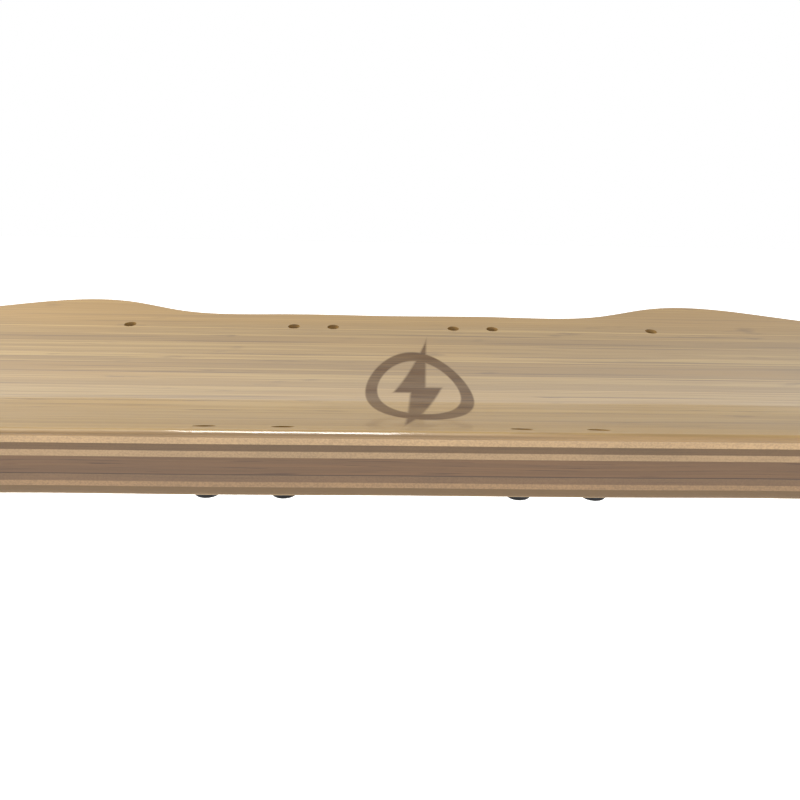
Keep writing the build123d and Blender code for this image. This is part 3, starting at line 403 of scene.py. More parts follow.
def bamboo_face(look, rim_colour_and_shade, mark=False):
    """Varnished bamboo strips that run along the deck, with rims of their own colour; a darker rim colour
    paints shade on an edge that faces down.
    """
    finish = Finish("bamboo_face_marked" if mark else "bamboo_face")
    finish.surface("Roughness", 0.5)
    finish.surface("Specular IOR Level", 0.3)
    finish.surface("Coat Roughness", look.varnish_roughness)
    wander = finish.noise((3.0, 40.0, 0.0), 2.0)
    y = finish.calc("ADD", finish.across("Y"), finish.calc("MULTIPLY", wander, 0.0016))
    strip_place = finish.calc("DIVIDE", y, look.strip_width)
    strips = finish.add("ShaderNodeTexVoronoi", {"W": strip_place, "Scale": 1.0}, voronoi_dimensions="1D")
    seams = finish.add(
        "ShaderNodeTexVoronoi",
        {"W": strip_place, "Scale": 1.0},
        voronoi_dimensions="1D",
        feature="DISTANCE_TO_EDGE",
    )
    tone = finish.add("ShaderNodeSeparateColor", {"Color": strips.outputs["Color"]})
    seam = finish.spread(seams.outputs["Distance"], 0.0, 0.045, 1.0, 0.0)
    grain = finish.noise((9.0, 620.0, 0.0), 5.0, 0.62)
    fibre = finish.noise((28.0, 2600.0, 0.0), 3.0, 0.6)
    cloud = finish.noise((7.0, 26.0, 0.0), 3.0, 0.5)
    pale = linear(look.bamboo_pale)
    dark = linear(look.bamboo_dark)
    golden = linear(look.bamboo_golden)
    umber = linear(look.bamboo_umber)
    base = finish.mix(finish.spread(tone.outputs[0], 0.0, 1.0, 0.0, 0.85), pale, dark)
    base = finish.mix(finish.spread(grain, 0.36, 0.66, 0.0, 0.75), base, dark)
    base = finish.mix(finish.spread(fibre, 0.5, 0.72, 0.0, 0.45), base, umber)
    base = finish.mix(finish.spread(cloud, 0.42, 0.70, 0.0, 0.45), base, golden)
    # Long dark veins, thin and a little wavy
    vein_x = finish.calc("MULTIPLY", finish.across("X"), 5.0)
    vein_y = finish.calc("MULTIPLY", y, 300.0)
    vein_place = finish.add("ShaderNodeCombineXYZ", {"X": vein_x, "Y": vein_y})
    veins = finish.noise_over(vein_place.outputs[0], 1.5)
    base = finish.mix(finish.spread(veins, 0.60, 0.68, 0.0, 0.6), base, umber)
    base = finish.mix(finish.spread(veins, 0.40, 0.32, 0.0, 0.5), base, pale)
    # Joints between strips: a thin line, dark on some and pale on others
    line_tone = finish.mix(
        finish.spread(tone.outputs[1], 0.45, 0.55), toned(look.bamboo_pale, 1.12), umber
    )
    base = finish.mix(finish.calc("MULTIPLY", seam, 0.7), base, line_tone)
    # The plant's nodes: soft dark streaks, each only as wide as its strip
    shifted = finish.calc("ADD", finish.across("X"), finish.calc("MULTIPLY", tone.outputs[2], 3.0))
    node_place = finish.add("ShaderNodeCombineXYZ", {"X": shifted, "Y": strip_place})
    scaled = finish.add("ShaderNodeMapping", {"Vector": node_place.outputs[0], "Scale": (30.0, 1.1, 1.0)})
    spots = finish.noise_over(scaled.outputs[0], 2.0)
    torn = finish.noise((110.0, 900.0, 0.0), 3.0, 0.7)
    spot = finish.spread(spots, 0.62, 0.74)
    knot = finish.calc("MULTIPLY", spot, finish.spread(torn, 0.32, 0.6))
    base = finish.mix(finish.calc("MULTIPLY", knot, 0.7), base, umber)
    # Where the surface climbs to the edge, the wood looks warmer
    edge = finish.calc("ABSOLUTE", finish.across("Y"))
    base = finish.mix(finish.spread(edge, 0.088, 0.104, 0.0, 0.5), base, golden)
    # Faces that turn away from up take the rim colour; on the bottom veneer that colour is darkened as
    # painted shade on its downward-facing edge
    facing = finish.add("ShaderNodeNewGeometry").outputs["Normal"]
    normal = finish.add("ShaderNodeSeparateXYZ", {"Vector": facing})
    rim = finish.spread(finish.calc("ABSOLUTE", normal.outputs["Z"]), 0.45, 0.85, 1.0, 0.0)
    if mark:
        burned = bolt_mark(finish, look.mark_centre, look.mark_size)
        patchy = finish.noise((18.0, 60.0, 0.0), 3.0, 0.6)
        strength = finish.calc("MULTIPLY", burned, finish.spread(patchy, 0.3, 0.7, 0.8, 1.0))
        char = finish.shade(grain, 0.35, 0.65, (0.36, 0.245, 0.09), (0.25, 0.16, 0.05))
        base = finish.mix(strength, base, char)
        dulled = finish.calc("SUBTRACT", 1.0, finish.calc("MULTIPLY", strength, 0.75))
        glossy = finish.calc("MAXIMUM", finish.calc("MULTIPLY", dulled, look.varnish), rim)
        finish.surface("Coat Weight", glossy)
        finish.surface("Specular IOR Level", finish.calc("MULTIPLY", dulled, 0.3))
    else:
        finish.surface("Coat Weight", look.varnish)
    along = finish.noise((14.0, 14.0, 1500.0), 4.0, 0.6)
    rim_tone_and_shade = finish.mix(finish.spread(along, 0.35, 0.65, 0.0, 0.6), linear(rim_colour_and_shade), umber)
    finish.colour(finish.mix(rim, base, rim_tone_and_shade))
    finish.emboss(finish.calc("ADD", grain, finish.calc("MULTIPLY", seam, -0.8)), 0.00003)
    return finish.material


def ply_edge(name, colour, speckle, streak):
    """A wood layer seen on the deck's sawn and sanded edge."""
    finish = Finish(name, Roughness=0.7, Coat_Weight=0.05, Coat_Roughness=0.3)
    base = linear(colour)
    deep = toned(colour, 0.72)
    light = toned(colour, 1.16)
    pores = finish.noise((1900.0, 1900.0, 2600.0), 2.0, 0.6)
    fibres = finish.noise((26.0, 26.0, 2400.0), 4.0, 0.6)
    cloud = finish.noise((20.0, 20.0, 60.0), 2.0)
    tone = finish.mix(finish.spread(cloud, 0.3, 0.7, 0.0, 0.5), base, light)
    tone = finish.mix(finish.spread(pores, 0.46, 0.62, 0.0, speckle), tone, deep)
    tone = finish.mix(finish.spread(pores, 0.5, 0.34, 0.0, speckle), tone, light)
    tone = finish.mix(finish.spread(fibres, 0.5, 0.7, 0.0, streak), tone, deep)
    finish.colour(tone)
    finish.emboss(pores, 0.00006 * speckle)
    return finish.material


def bamboo_edge(name, colour, fibre_colour, arc_centre_z, lower_radius):
    """Bamboo seen on the edge: fine long fibre streaks and a node here and there."""
    finish = Finish(name, Roughness=0.6, Coat_Weight=0.1, Coat_Roughness=0.2)
    base = linear(colour)
    fine = finish.noise((16.0, 16.0, 2200.0), 4.0, 0.62)
    dashes = finish.noise((46.0, 46.0, 3000.0), 2.0, 0.5, (3.0, 0.0, 7.0))
    cloud = finish.noise((9.0, 9.0, 160.0), 3.0, 0.5)
    node = finish.noise((16.0, 0.0, 30.0), 1.0, 0.5, (0.4, 0.0, 0.0))
    torn = finish.noise((380.0, 380.0, 1500.0), 3.0, 0.7)
    tone = finish.mix(finish.spread(cloud, 0.35, 0.7, 0.0, 0.6), base, toned(colour, 0.86))
    tone = finish.mix(finish.spread(fine, 0.42, 0.66, 0.0, 0.5), tone, toned(colour, 1.15))
    tone = finish.mix(finish.spread(dashes, 0.60, 0.68, 0.0, 0.75), tone, linear(fibre_colour))
    broken = finish.calc("MULTIPLY", finish.spread(node, 0.60, 0.68), finish.spread(torn, 0.42, 0.56))
    tone = finish.mix(finish.calc("MULTIPLY", broken, 0.75), tone, linear(fibre_colour))
    # A dark line of glue along the layer's lower face, which follows the deck's curve
    lift = finish.calc("SUBTRACT", finish.across("Z"), arc_centre_z)
    depth = finish.calc("SUBTRACT", lower_radius, finish.length(lift, finish.across("Y")))
    glue = finish.spread(depth, 0.0001, 0.0003, 0.85, 0.0)
    finish.colour(finish.mix(glue, tone, toned(fibre_colour, 0.72)))
    finish.emboss(fine, 0.00005)
    return finish.material


# ------------------------------------------------------------------ metal, plastic and rubber


def radius_about(finish, centre):
    """Distance from an axis that runs along Y."""
    dx = finish.calc("SUBTRACT", finish.across("X"), centre[0])
    dz = finish.calc("SUBTRACT", finish.across("Z"), centre[2])
    return finish.length(dx, dz)


def metal(name, colour, roughness, grain=(400.0, 400.0, 400.0), wear=0.15, depth=0.00002, edge=0.0):
    """Metal with fine grain, slight tone changes, a little wear and optional soft edges."""
    finish = Finish(name, Metallic=1.0)
    fine = finish.noise(grain, 3.0, 0.6)
    cloud = finish.noise((45.0, 45.0, 45.0), 3.0)
    base = linear(colour)
    worn = toned(colour, 1.35, 0.04)
    tone = finish.mix(finish.spread(cloud, 0.35, 0.7, 0.0, wear), base, worn)
    finish.colour(finish.mix(finish.spread(fine, 0.35, 0.7, 0.0, wear), tone, worn))
    rough = finish.spread(fine, 0.3, 0.7, roughness * 0.85, min(1.0, roughness * 1.25))
    finish.surface("Roughness", rough)
    finish.emboss(fine, depth, edge)
    return finish.material


def moulded(name, colour, roughness, pebble=900.0, depth=0.00004, coat=0.0, edge=0.0):
    """Moulded plastic, rubber or urethane with a fine pebbled surface."""
    finish = Finish(name, Coat_Weight=coat, Coat_Roughness=0.15)
    pebbles = finish.noise((pebble, pebble, pebble), 2.0, 0.55)
    cloud = finish.noise((38.0, 38.0, 38.0), 4.0, 0.6)
    base = linear(colour)
    dusty = toned(colour, 1.25, 0.012)
    finish.colour(finish.mix(finish.spread(cloud, 0.42, 0.72, 0.0, 0.5), base, dusty))
    rough = finish.spread(cloud, 0.35, 0.7, roughness * 0.9, min(1.0, roughness * 1.15))
    finish.surface("Roughness", rough)
    finish.emboss(pebbles, depth, edge)
    return finish.material


def turned_metal(name, colour, roughness, centre, pitch=0.0005, depth=0.00001):
    """Metal with fine lathe rings about an axis along Y."""
    finish = Finish(name, Metallic=1.0)
    radius = radius_about(finish, centre)
    rings = finish.calc("SINE", finish.calc("MULTIPLY", radius, 2 * math.pi / pitch))
    cloud = finish.noise((60.0, 60.0, 60.0), 3.0)
    base = linear(colour)
    bright = toned(colour, 1.2, 0.03)
    tone = finish.mix(finish.spread(cloud, 0.35, 0.7, 0.0, 0.4), base, bright)
    finish.colour(finish.mix(finish.spread(rings, -1.0, 1.0, 0.0, 0.25), tone, bright))
    finish.surface("Roughness", finish.spread(cloud, 0.3, 0.7, roughness, roughness * 1.3))
    finish.emboss(rings, depth)
    return finish.material


def bearing_finish(name, centre, race, bore):
    """Ground steel races with a dark rubber shield between them."""
    finish = Finish(name)
    radius = radius_about(finish, centre)
    width = race - bore
    inner = finish.spread(radius, bore + width * 0.24, bore + width * 0.28)
    outer = finish.spread(radius, race - width * 0.26, race - width * 0.22, 1.0, 0.0)
    shield = finish.calc("MULTIPLY", inner, outer)
    fine = finish.noise((700.0, 700.0, 700.0), 2.0)
    steel = finish.shade(fine, 0.3, 0.7, (0.62, 0.63, 0.65), (0.72, 0.73, 0.75))
    finish.colour(finish.mix(shield, steel, linear((0.07, 0.07, 0.075))))
    finish.surface("Metallic", finish.calc("SUBTRACT", 1.0, shield))
    finish.surface("Roughness", finish.spread(shield, 0.0, 1.0, 0.22, 0.55))
    finish.emboss(fine, 0.00001)
    return finish.material


def tyre_finish(name, look):
    """Cast urethane: smooth, slightly soft at the edges and dusty on the tread."""
    finish = Finish(name, Coat_Weight=0.15, Coat_Roughness=0.35)
    cloud = finish.noise((30.0, 30.0, 30.0), 5.0, 0.65)
    scuffs = finish.noise((260.0, 90.0, 260.0), 4.0, 0.7)
    base = linear(look.tyre_colour)
    dusty = toned(look.tyre_colour, 1.5, 0.05)
    side = finish.calc("SUBTRACT", finish.calc("ABSOLUTE", finish.across("Y")), look.wheel_middle)
    tread = finish.spread(finish.calc("ABSOLUTE", side), 0.014, 0.021, 1.0, 0.0)
    tone = finish.mix(finish.spread(cloud, 0.4, 0.7, 0.0, 0.35), base, dusty)
    worn = finish.calc("MULTIPLY", tread, finish.spread(scuffs, 0.4, 0.65))
    finish.colour(finish.mix(finish.calc("MULTIPLY", worn, 0.55), tone, dusty))
    finish.surface("Roughness", finish.spread(worn, 0.0, 1.0, 0.38, 0.7))
    finish.surface("Subsurface Weight", 0.05)
    finish.surface("Subsurface Scale", 0.002)
    finish.emboss(scuffs, 0.00004)
    return finish.material


def wound_stator(name, centre):
    """Steel laminations outside, copper windings inside."""
    finish = Finish(name, Metallic=1.0)
    radius = radius_about(finish, centre)
    sheets = finish.calc("SINE", finish.calc("MULTIPLY", finish.across("Y"), 2 * math.pi / 0.0007))
    copper = finish.shade(sheets, -1.0, 1.0, (0.62, 0.30, 0.14), (0.80, 0.45, 0.24))
    steel = finish.shade(sheets, -1.0, 1.0, (0.34, 0.34, 0.36), (0.55, 0.55, 0.58))
    wound = finish.spread(radius, WINDING_RADIUS, WINDING_RADIUS + 0.0005, 1.0, 0.0)
    finish.colour(finish.mix(wound, steel, copper))
    finish.surface("Roughness", finish.spread(wound, 0.0, 1.0, 0.45, 0.3))
    finish.emboss(sheets, 0.00003)
    return finish.material


def cell_sleeves(name):
    """Shrink sleeves on the cells, with bare metal at both ends."""
    finish = Finish(name, Coat_Weight=0.4, Coat_Roughness=0.1)
    y = finish.calc("ABSOLUTE", finish.across("Y"))
    outer = finish.spread(y, CELL_HALF_LENGTH, CELL_HALF_LENGTH + 0.0003)
    inner = finish.spread(y, CELL_END_GAP, CELL_END_GAP - 0.0003)
    end = finish.calc("MAXIMUM", outer, inner)
    creases = finish.noise((150.0, 30.0, 150.0), 3.0, 0.6)
    sleeve = finish.shade(creases, 0.3, 0.7, (0.10, 0.36, 0.42), (0.15, 0.46, 0.52))
    finish.colour(finish.mix(end, sleeve, linear((0.70, 0.70, 0.68))))
    finish.surface("Metallic", end)
    finish.surface("Roughness", finish.spread(end, 0.0, 1.0, 0.4, 0.3))
    finish.emboss(creases, 0.00006)
    return finish.material


def circuit_board(name):
    """Green solder mask with tracks and plated pads."""
    finish = Finish(name, Roughness=0.35)
    place = finish.stretch((0.0, 260.0, 260.0))
    tracks = finish.add("ShaderNodeTexBrick", {"Vector": place, "Scale": 1.0, "Mortar Size": 0.06})
    pads = finish.add("ShaderNodeTexVoronoi", {"Vector": place, "Scale": 1.3})
    pad = finish.spread(pads.outputs["Distance"], 0.16, 0.20, 1.0, 0.0)
    green = finish.mix(tracks.outputs["Fac"], linear((0.05, 0.30, 0.16)), linear((0.10, 0.42, 0.24)))
    finish.colour(finish.mix(pad, green, linear((0.78, 0.66, 0.36))))
    finish.surface("Metallic", pad)
    finish.emboss(pad, 0.0001)
    return finish.material


def ringed_button(name, centre, glow_radius):
    """Brushed steel with a lit ring."""
    finish = Finish(name, Metallic=1.0, Emission_Color=linear((0.35, 0.80, 1.0)))
    radius = radius_about(finish, centre)
    blurred = BUTTON_RING_HALF - 0.0002
    ring = finish.calc(
        "MULTIPLY",
        finish.spread(radius, glow_radius - BUTTON_RING_HALF, glow_radius - blurred),
        finish.spread(radius, glow_radius + BUTTON_RING_HALF, glow_radius + blurred, 1.0, 0.0),
    )
    brushed = finish.noise((2600.0, 300.0, 90.0), 3.0, 0.6)
    steel = finish.shade(brushed, 0.3, 0.7, (0.55, 0.56, 0.58), (0.72, 0.73, 0.75))
    finish.colour(finish.mix(ring, steel, linear((0.55, 0.85, 0.95))))
    finish.surface("Emission Strength", finish.calc("MULTIPLY", ring, 1.2))
    finish.surface("Roughness", finish.spread(brushed, 0.3, 0.7, 0.25, 0.4))
    finish.emboss(brushed, 0.00001)
    return finish.material


# ------------------------------------------------------------------ settings


class SKATE_PG_deck(bpy.types.PropertyGroup):
    """The deck's finish."""

    concave_radius: bpy.props.FloatProperty(
        name="Concave radius", description="Of the deck's top surface", default=0.4, unit="LENGTH"
    )
    top_layer: bpy.props.FloatProperty(
        name="Top layer", description="Thickness of the top layer", default=0.00205, unit="LENGTH"
    )
    strip_width: bpy.props.FloatProperty(
        name="Strip width", description="Usual width of one bamboo strip", default=0.011, unit="LENGTH"
    )
    varnish: bpy.props.FloatProperty(
        name="Varnish", description="How much varnish lies on the bamboo", default=0.4, subtype="FACTOR"
    )
    varnish_roughness: bpy.props.FloatProperty(
        name="Varnish roughness", description="Softness of its reflections", default=0.07, subtype="FACTOR"
    )
    bamboo_pale: bpy.props.FloatVectorProperty(
        name="Pale bamboo", description="Lightest strips", default=(0.625, 0.515, 0.300), subtype="COLOR"
    )
    bamboo_dark: bpy.props.FloatVectorProperty(
        name="Dark bamboo", description="Darkest strips", default=(0.490, 0.380, 0.190), subtype="COLOR"
    )
    bamboo_golden: bpy.props.FloatVectorProperty(
        name="Golden bamboo",
        description="Warm areas near the edges",
        default=(0.575, 0.445, 0.215),
        subtype="COLOR",
    )
    bamboo_umber: bpy.props.FloatVectorProperty(
        name="Umber", description="Veins, nodes and seams", default=(0.375, 0.275, 0.140), subtype="COLOR"
    )
    mark_centre: bpy.props.FloatVectorProperty(
        name="Mark centre",
        description="Middle of the burned mark",
        default=(0.0085, -0.004),
        size=2,
        unit="LENGTH",
    )
    mark_size: bpy.props.FloatVectorProperty(
        name="Mark size",
        description="Half length and half width",
        default=(0.021, 0.062),
        size=2,
        unit="LENGTH",
    )


class SKATE_PG_trucks(bpy.types.PropertyGroup):
    """The trucks' finish."""

    cast_voxel: bpy.props.FloatProperty(
        name="Cast detail", description="Smallest feature of a casting", default=0.0009, unit="LENGTH"
    )
    cast_colour: bpy.props.FloatVectorProperty(
        name="Casting", description="Colour of the cast parts", default=(0.56, 0.57, 0.58), subtype="COLOR"
    )
    bushing_colour: bpy.props.FloatVectorProperty(
        name="Bushings", description="Colour of the cushions", default=(0.82, 0.42, 0.10), subtype="COLOR"
    )


class SKATE_PG_wheels(bpy.types.PropertyGroup):
    """The wheels' sizes and colours."""

    tyre_colour: bpy.props.FloatVectorProperty(
        name="Tyre", description="Colour of the urethane", default=(0.115, 0.115, 0.12), subtype="COLOR"
    )
    core_colour: bpy.props.FloatVectorProperty(
        name="Core",
        description="Colour of the front wheels' cores",
        default=(0.20, 0.205, 0.21),
        subtype="COLOR",
    )
    wheel_middle: bpy.props.FloatProperty(
        name="Wheel middle", description="Distance from the centreline", default=0.103, unit="LENGTH"
    )
    groove_depth: bpy.props.FloatProperty(
        name="Groove depth", description="Depth of the tread grooves", default=0.0008, unit="LENGTH"
    )
    tyre_round: bpy.props.FloatProperty(
        name="Shoulder", description="Radius of a tyre's shoulder", default=0.009, unit="LENGTH"
    )
    spoke_count: bpy.props.IntProperty(name="Spokes", description="Spokes of a front core", default=10)
    spoke_width: bpy.props.FloatProperty(
        name="Spoke width", description="Width of one spoke", default=0.0032, unit="LENGTH"
    )
    rib_count: bpy.props.IntProperty(name="Motor ribs", description="Ribs on a motor's cover", default=12)


class SKATE_PG_housing(bpy.types.PropertyGroup):
    """The housings' finish."""

    plastic_colour: bpy.props.FloatVectorProperty(
        name="Plastic", description="Colour of the housings", default=(0.075, 0.077, 0.08), subtype="COLOR"
    )
    edge_radius: bpy.props.FloatProperty(
        name="Edge radius", description="Softness of moulded edges", default=0.0008, unit="LENGTH"
    )


class SKATE_PG_stage(bpy.types.PropertyGroup):
    """The studio: where the camera stands, its lens and the lights."""

    camera_offset: bpy.props.FloatVectorProperty(
        name="Camera offset",
        description="From the middle of the deck's top surface",
        default=(-0.00563, -0.2625, 0.06157),
        unit="LENGTH",
    )
    camera_pitch: bpy.props.FloatProperty(
        name="Camera pitch", description="Below level", default=math.radians(14.24), subtype="ANGLE"
    )
    camera_yaw: bpy.props.FloatProperty(
        name="Camera yaw", description="Towards the nose", default=math.radians(1.58), subtype="ANGLE"
    )
    camera_roll: bpy.props.FloatProperty(
        name="Camera roll", description="Anticlockwise", default=math.radians(1.04), subtype="ANGLE"
    )
    lens: bpy.props.FloatProperty(name="Lens", description="Focal length in millimetres", default=30.6)
    world_strength: bpy.props.FloatProperty(
        name="Room light", description="Brightness of the plain room", default=1.0
    )
    key_power: bpy.props.FloatProperty(
        name="Key light", description="Watts of the main softbox", default=11.0
    )
    strip_length: bpy.props.FloatProperty(
        name="Strip length", description="Along the board, of the overhead light", default=0.45, unit="LENGTH"
    )
    strip_power: bpy.props.FloatProperty(
        name="Strip light",
        description="Watts of the overhead light, which shows only in reflections",
        default=38.0,
    )
    table_glow: bpy.props.FloatProperty(
        name="Table glow", description="Light from the white table itself", default=0.7
    )


# ------------------------------------------------------------------ operators


class SKATE_OT_deck(bpy.types.Operator):
    """Finish the deck's bonded layers"""

    bl_idname = "skateboard.deck"
    bl_label = "Deck"

    def execute(self, context):
        look = context.scene.skateboard_deck
        arc_z = deck_surface(context) + look.concave_radius
        lower = arc_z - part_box("core_ply")[0].z
        paint(bamboo_face(look, (0.560, 0.430, 0.225), mark=True), "veneer_top")
        # The bottom veneer's rim colour is its edge colour darkened into painted shade, as that edge faces
        # down
        paint(bamboo_face(look, (0.375, 0.280, 0.150)), "veneer_bottom")
        for name, colour, speckle, streak in (
            ("ply_light_upper", (0.625, 0.515, 0.375), 0.30, 0.10),
            ("ply_dark", (0.355, 0.265, 0.160), 0.12, 0.35),
            ("ply_light_middle", (0.555, 0.455, 0.330), 0.25, 0.15),
            ("ply_grey", (0.395, 0.298, 0.200), 0.20, 0.35),
            ("ply_light_lower", (0.515, 0.405, 0.280), 0.30, 0.10),
        ):
            paint(ply_edge(name + "_wood", colour, speckle, streak), name)
        core = bamboo_edge("core_bamboo", (0.372, 0.262, 0.148), (0.22, 0.125, 0.055), arc_z, lower)
        paint(core, "core_ply")
        return {"FINISHED"}


class SKATE_OT_fasteners(bpy.types.Operator):
    """Finish the inserts, screws, bolts, nuts and riser pads"""

    bl_idname = "skateboard.fasteners"
    bl_label = "Fasteners and riser pads"

    def execute(self, context):
        paint(metal("insert_brass", (0.66, 0.50, 0.26), 0.34), "threaded_inserts")
        oxide = metal("black_oxide", (0.14, 0.14, 0.145), 0.42, wear=0.2, edge=0.0003)
        paint(oxide, "enclosure_screws", "truck_bolts")
        zinc = metal("zinc_plate", (0.60, 0.61, 0.60), 0.3, edge=0.0003)
        paint(zinc, "truck_locknuts", "front_axle_hardware")
        paint(moulded("riser_rubber", (0.10, 0.10, 0.10), 0.75, 1400.0), "front_riser_pad", "rear_riser_pad")
        return {"FINISHED"}


class SKATE_OT_housings(bpy.types.Operator):
    """Finish the housings, the cable cover and what is mounted on them"""

    bl_idname = "skateboard.housings"
    bl_label = "Housings"

    def execute(self, context):
        look = context.scene.skateboard_housing
        colour, edge = look.plastic_colour, look.edge_radius
        plastic = moulded("housing_plastic", colour, 0.52, 1300.0, 0.00006, edge=edge)
        paint(plastic, "battery_housing", "electronics_housing", "cable_cover")
        foam = moulded("gasket_foam", (0.05, 0.05, 0.052), 0.85, 2200.0)
        paint(foam, "battery_gasket", "electronics_gasket")
        paint(moulded("gland_nylon", (0.06, 0.06, 0.062), 0.4, edge=0.0005), "cable_glands")
        paint(moulded("cap_rubber", (0.11, 0.11, 0.115), 0.65, 1800.0, edge=0.0005), "charge_cap")
        paint(metal("pin_steel", (0.58, 0.58, 0.60), 0.28), "charge_cap_pin")
        paint(metal("socket_nickel", (0.62, 0.61, 0.58), 0.25, edge=0.0003), "charge_socket")
        sink = metal("sink_aluminium", (0.20, 0.205, 0.215), 0.4, (40.0, 900.0, 900.0), edge=0.0003)
        paint(sink, "heat_sink")
        paint(metal("switch_anodised", (0.10, 0.10, 0.105), 0.3, edge=0.0003), "switch_body")
        button = ringed_button("button_steel", middle("power_button"), BUTTON_RING_RADIUS)
        paint(button, "power_button")
        return {"FINISHED"}


class SKATE_OT_electronics(bpy.types.Operator):
    """Finish the cells, the battery board and the motor controller"""

    bl_idname = "skateboard.electronics"
    bl_label = "Battery and controller"

    def execute(self, context):
        paint(cell_sleeves("cell_sleeves"), "battery_cells")
        paint(circuit_board("battery_board"), "bms_board")
        paint(metal("controller_case", (0.33, 0.34, 0.36), 0.45, edge=0.0008), "motor_controller")
        return {"FINISHED"}


class SKATE_OT_trucks(bpy.types.Operator):
    """Make the cast parts of both trucks and finish the cushions and the rest"""

    bl_idname = "skateboard.trucks"
    bl_label = "Trucks"

    def execute(self, context):
        look = context.scene.skateboard_trucks
        casting = metal("cast_aluminium", look.cast_colour, 0.42, (900.0, 900.0, 900.0), 0.2, 0.00006)
        cushion = moulded("bushing_urethane", look.bushing_colour, 0.35, 300.0, 0.00003, 0.3, 0.0008)
        steel = metal("kingpin_steel", (0.50, 0.50, 0.52), 0.3, edge=0.0004)
        cup = moulded("pivot_urethane", (0.16, 0.16, 0.17), 0.5)
        for end in ("front", "rear"):
            cast_copy(f"{end}_baseplate_casting", f"{end}_baseplate", casting, look.cast_voxel)
            cast_copy(f"{end}_hanger_casting", f"{end}_hanger", casting, look.cast_voxel)
            paint(cushion, f"{end}_bushings")
            paint(steel, f"{end}_kingpin", f"{end}_kingpin_nut", f"{end}_axle")
            paint(cup, f"{end}_pivot_cup")
        return {"FINISHED"}


def tyre_outline(outer, seat, half, round_over, groove):
    """Half of a tyre's section, mirrored: seat, lips, shoulders and two grooves in the tread."""
    shoulder = half - round_over * 0.35
    dip = (seat + outer) / 2
    lip = seat + LIP_CHAMFER[0]
    upper = [
        (seat, half - LIP_CHAMFER[1]),
        (lip, half),
        (lip + LIP_FLAT, half),
        (dip - 0.001, half - SIDE_DISH),
        (outer - round_over * 0.9, half - SIDE_RISE),
        (outer - round_over * 0.35, shoulder),
        (outer - round_over * 0.08, half - round_over * 0.8),
        (outer, half - round_over * 1.1),
    ]
    tread = []
    for groove_height in (half * GROOVE_PLACE, -half * GROOVE_PLACE):
        for height, depth in (
            (GROOVE_TOP_HALF, 0.0),
            (GROOVE_FLOOR_HALF, groove),
            (-GROOVE_FLOOR_HALF, groove),
            (-GROOVE_TOP_HALF, 0.0),
        ):
            tread.append((outer - depth, groove_height + height))
    return upper + tread + [(radius, -height) for radius, height in reversed(upper)]


def bearing_pair(node, sign, material, race, bore, width):
    """Makes a pair of bearings with stepped races and shields."""
    low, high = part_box(node)
    reach = (high.y - low.y) / 2
    ring = (race - bore) / 4
    top = width / 2
    dish = top - BEARING_DISH
    upper = [
        (bore, top),
        (bore + ring, top),
        (bore + ring, dish),
        (race - ring, dish),
        (race - ring, top),
        (race, top),
    ]
    outline = upper + [(radius, -height) for radius, height in reversed(upper)]
    shape = Shape()
    for offset in (reach - top, top - reach):
        shape.turned(outline, 72, 0.00015, (0, 0, offset))
    shape.place(f"{node}_shielded", along_y(middle(node), sign), material, node)


class SKATE_OT_wheels(bpy.types.Operator):
    """Make the tyres, the front cores and their bearings"""

    bl_idname = "skateboard.wheels"
    bl_label = "Wheels"

    def execute(self, context):
        look = context.scene.skateboard_wheels
        urethane = tyre_finish("tyre_urethane", look)
        plastic = moulded("core_nylon", look.core_colour, 0.42, 1500.0, 0.00005)
        for side, sign in SIDES:
            for end, inner in (("front", "core"), ("rear", "motor_can")):
                node = f"{end}_{side}_tyre"
                low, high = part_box(node)
                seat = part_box(f"{end}_{side}_{inner}")[1].z - middle(node).z
                outer = (high.z - low.z) / 2
                round_over = min(look.tyre_round, outer - seat - 0.001)
                outline = tyre_outline(outer, seat, (high.y - low.y) / 2, round_over, look.groove_depth)
                shape = Shape().turned(outline, 128, 0.0005)
                shape.place(f"{node}_cast", along_y(middle(node), sign), urethane, node)
            self.core(look, side, sign, plastic)
            node = f"front_{side}_bearings"
            finish = bearing_finish(f"{node}_steel", middle(node), BEARING_RADIUS, BEARING_BORE)
            bearing_pair(node, sign, finish, BEARING_RADIUS, BEARING_BORE, BEARING_WIDTH)
        return {"FINISHED"}

    def core(self, look, side, sign, material):
        """One front core: rim, web, hub and spokes."""
        node = f"front_{side}_core"
        low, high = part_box(node)
        outer = (high.z - low.z) / 2
        half = (high.y - low.y) / 2
        rim = outer - CORE_RIM_WALL
        hub = CORE_HUB_RADIUS
        seat = BEARING_RADIUS
        step = CORE_STEP_HALF
        web = CORE_WEB_HALF
        shape = Shape()
        shape.turned([(rim, -half), (rim, half), (outer, half), (outer, -half)], 96, 0.0008)
        near, far = hub - CORE_OVERLAP, rim + CORE_OVERLAP
        shape.turned([(near, -web), (near, web), (far, web), (far, -web)], 96, 0)
        shape.turned(
            [
                (seat - CORE_STEP, -step),
                (seat - CORE_STEP, step),
                (seat, step),
                (seat, CORE_HUB_HALF),
                (hub, CORE_HUB_HALF),
                (hub, -CORE_HUB_HALF),
                (seat, -CORE_HUB_HALF),
                (seat, -step),
            ]
        )
        spoke = (far - near, look.spoke_width, 2 * (half - CORE_SPOKE_INSET))
        for index in range(look.spoke_count):
            turn = index * 2 * math.pi / look.spoke_count
            shape.block(spoke, ((rim + hub) / 2, 0.0, 0.0), 0.0010, turn)
        shape.place(f"{node}_spoked", along_y(middle(node), sign), material, node)


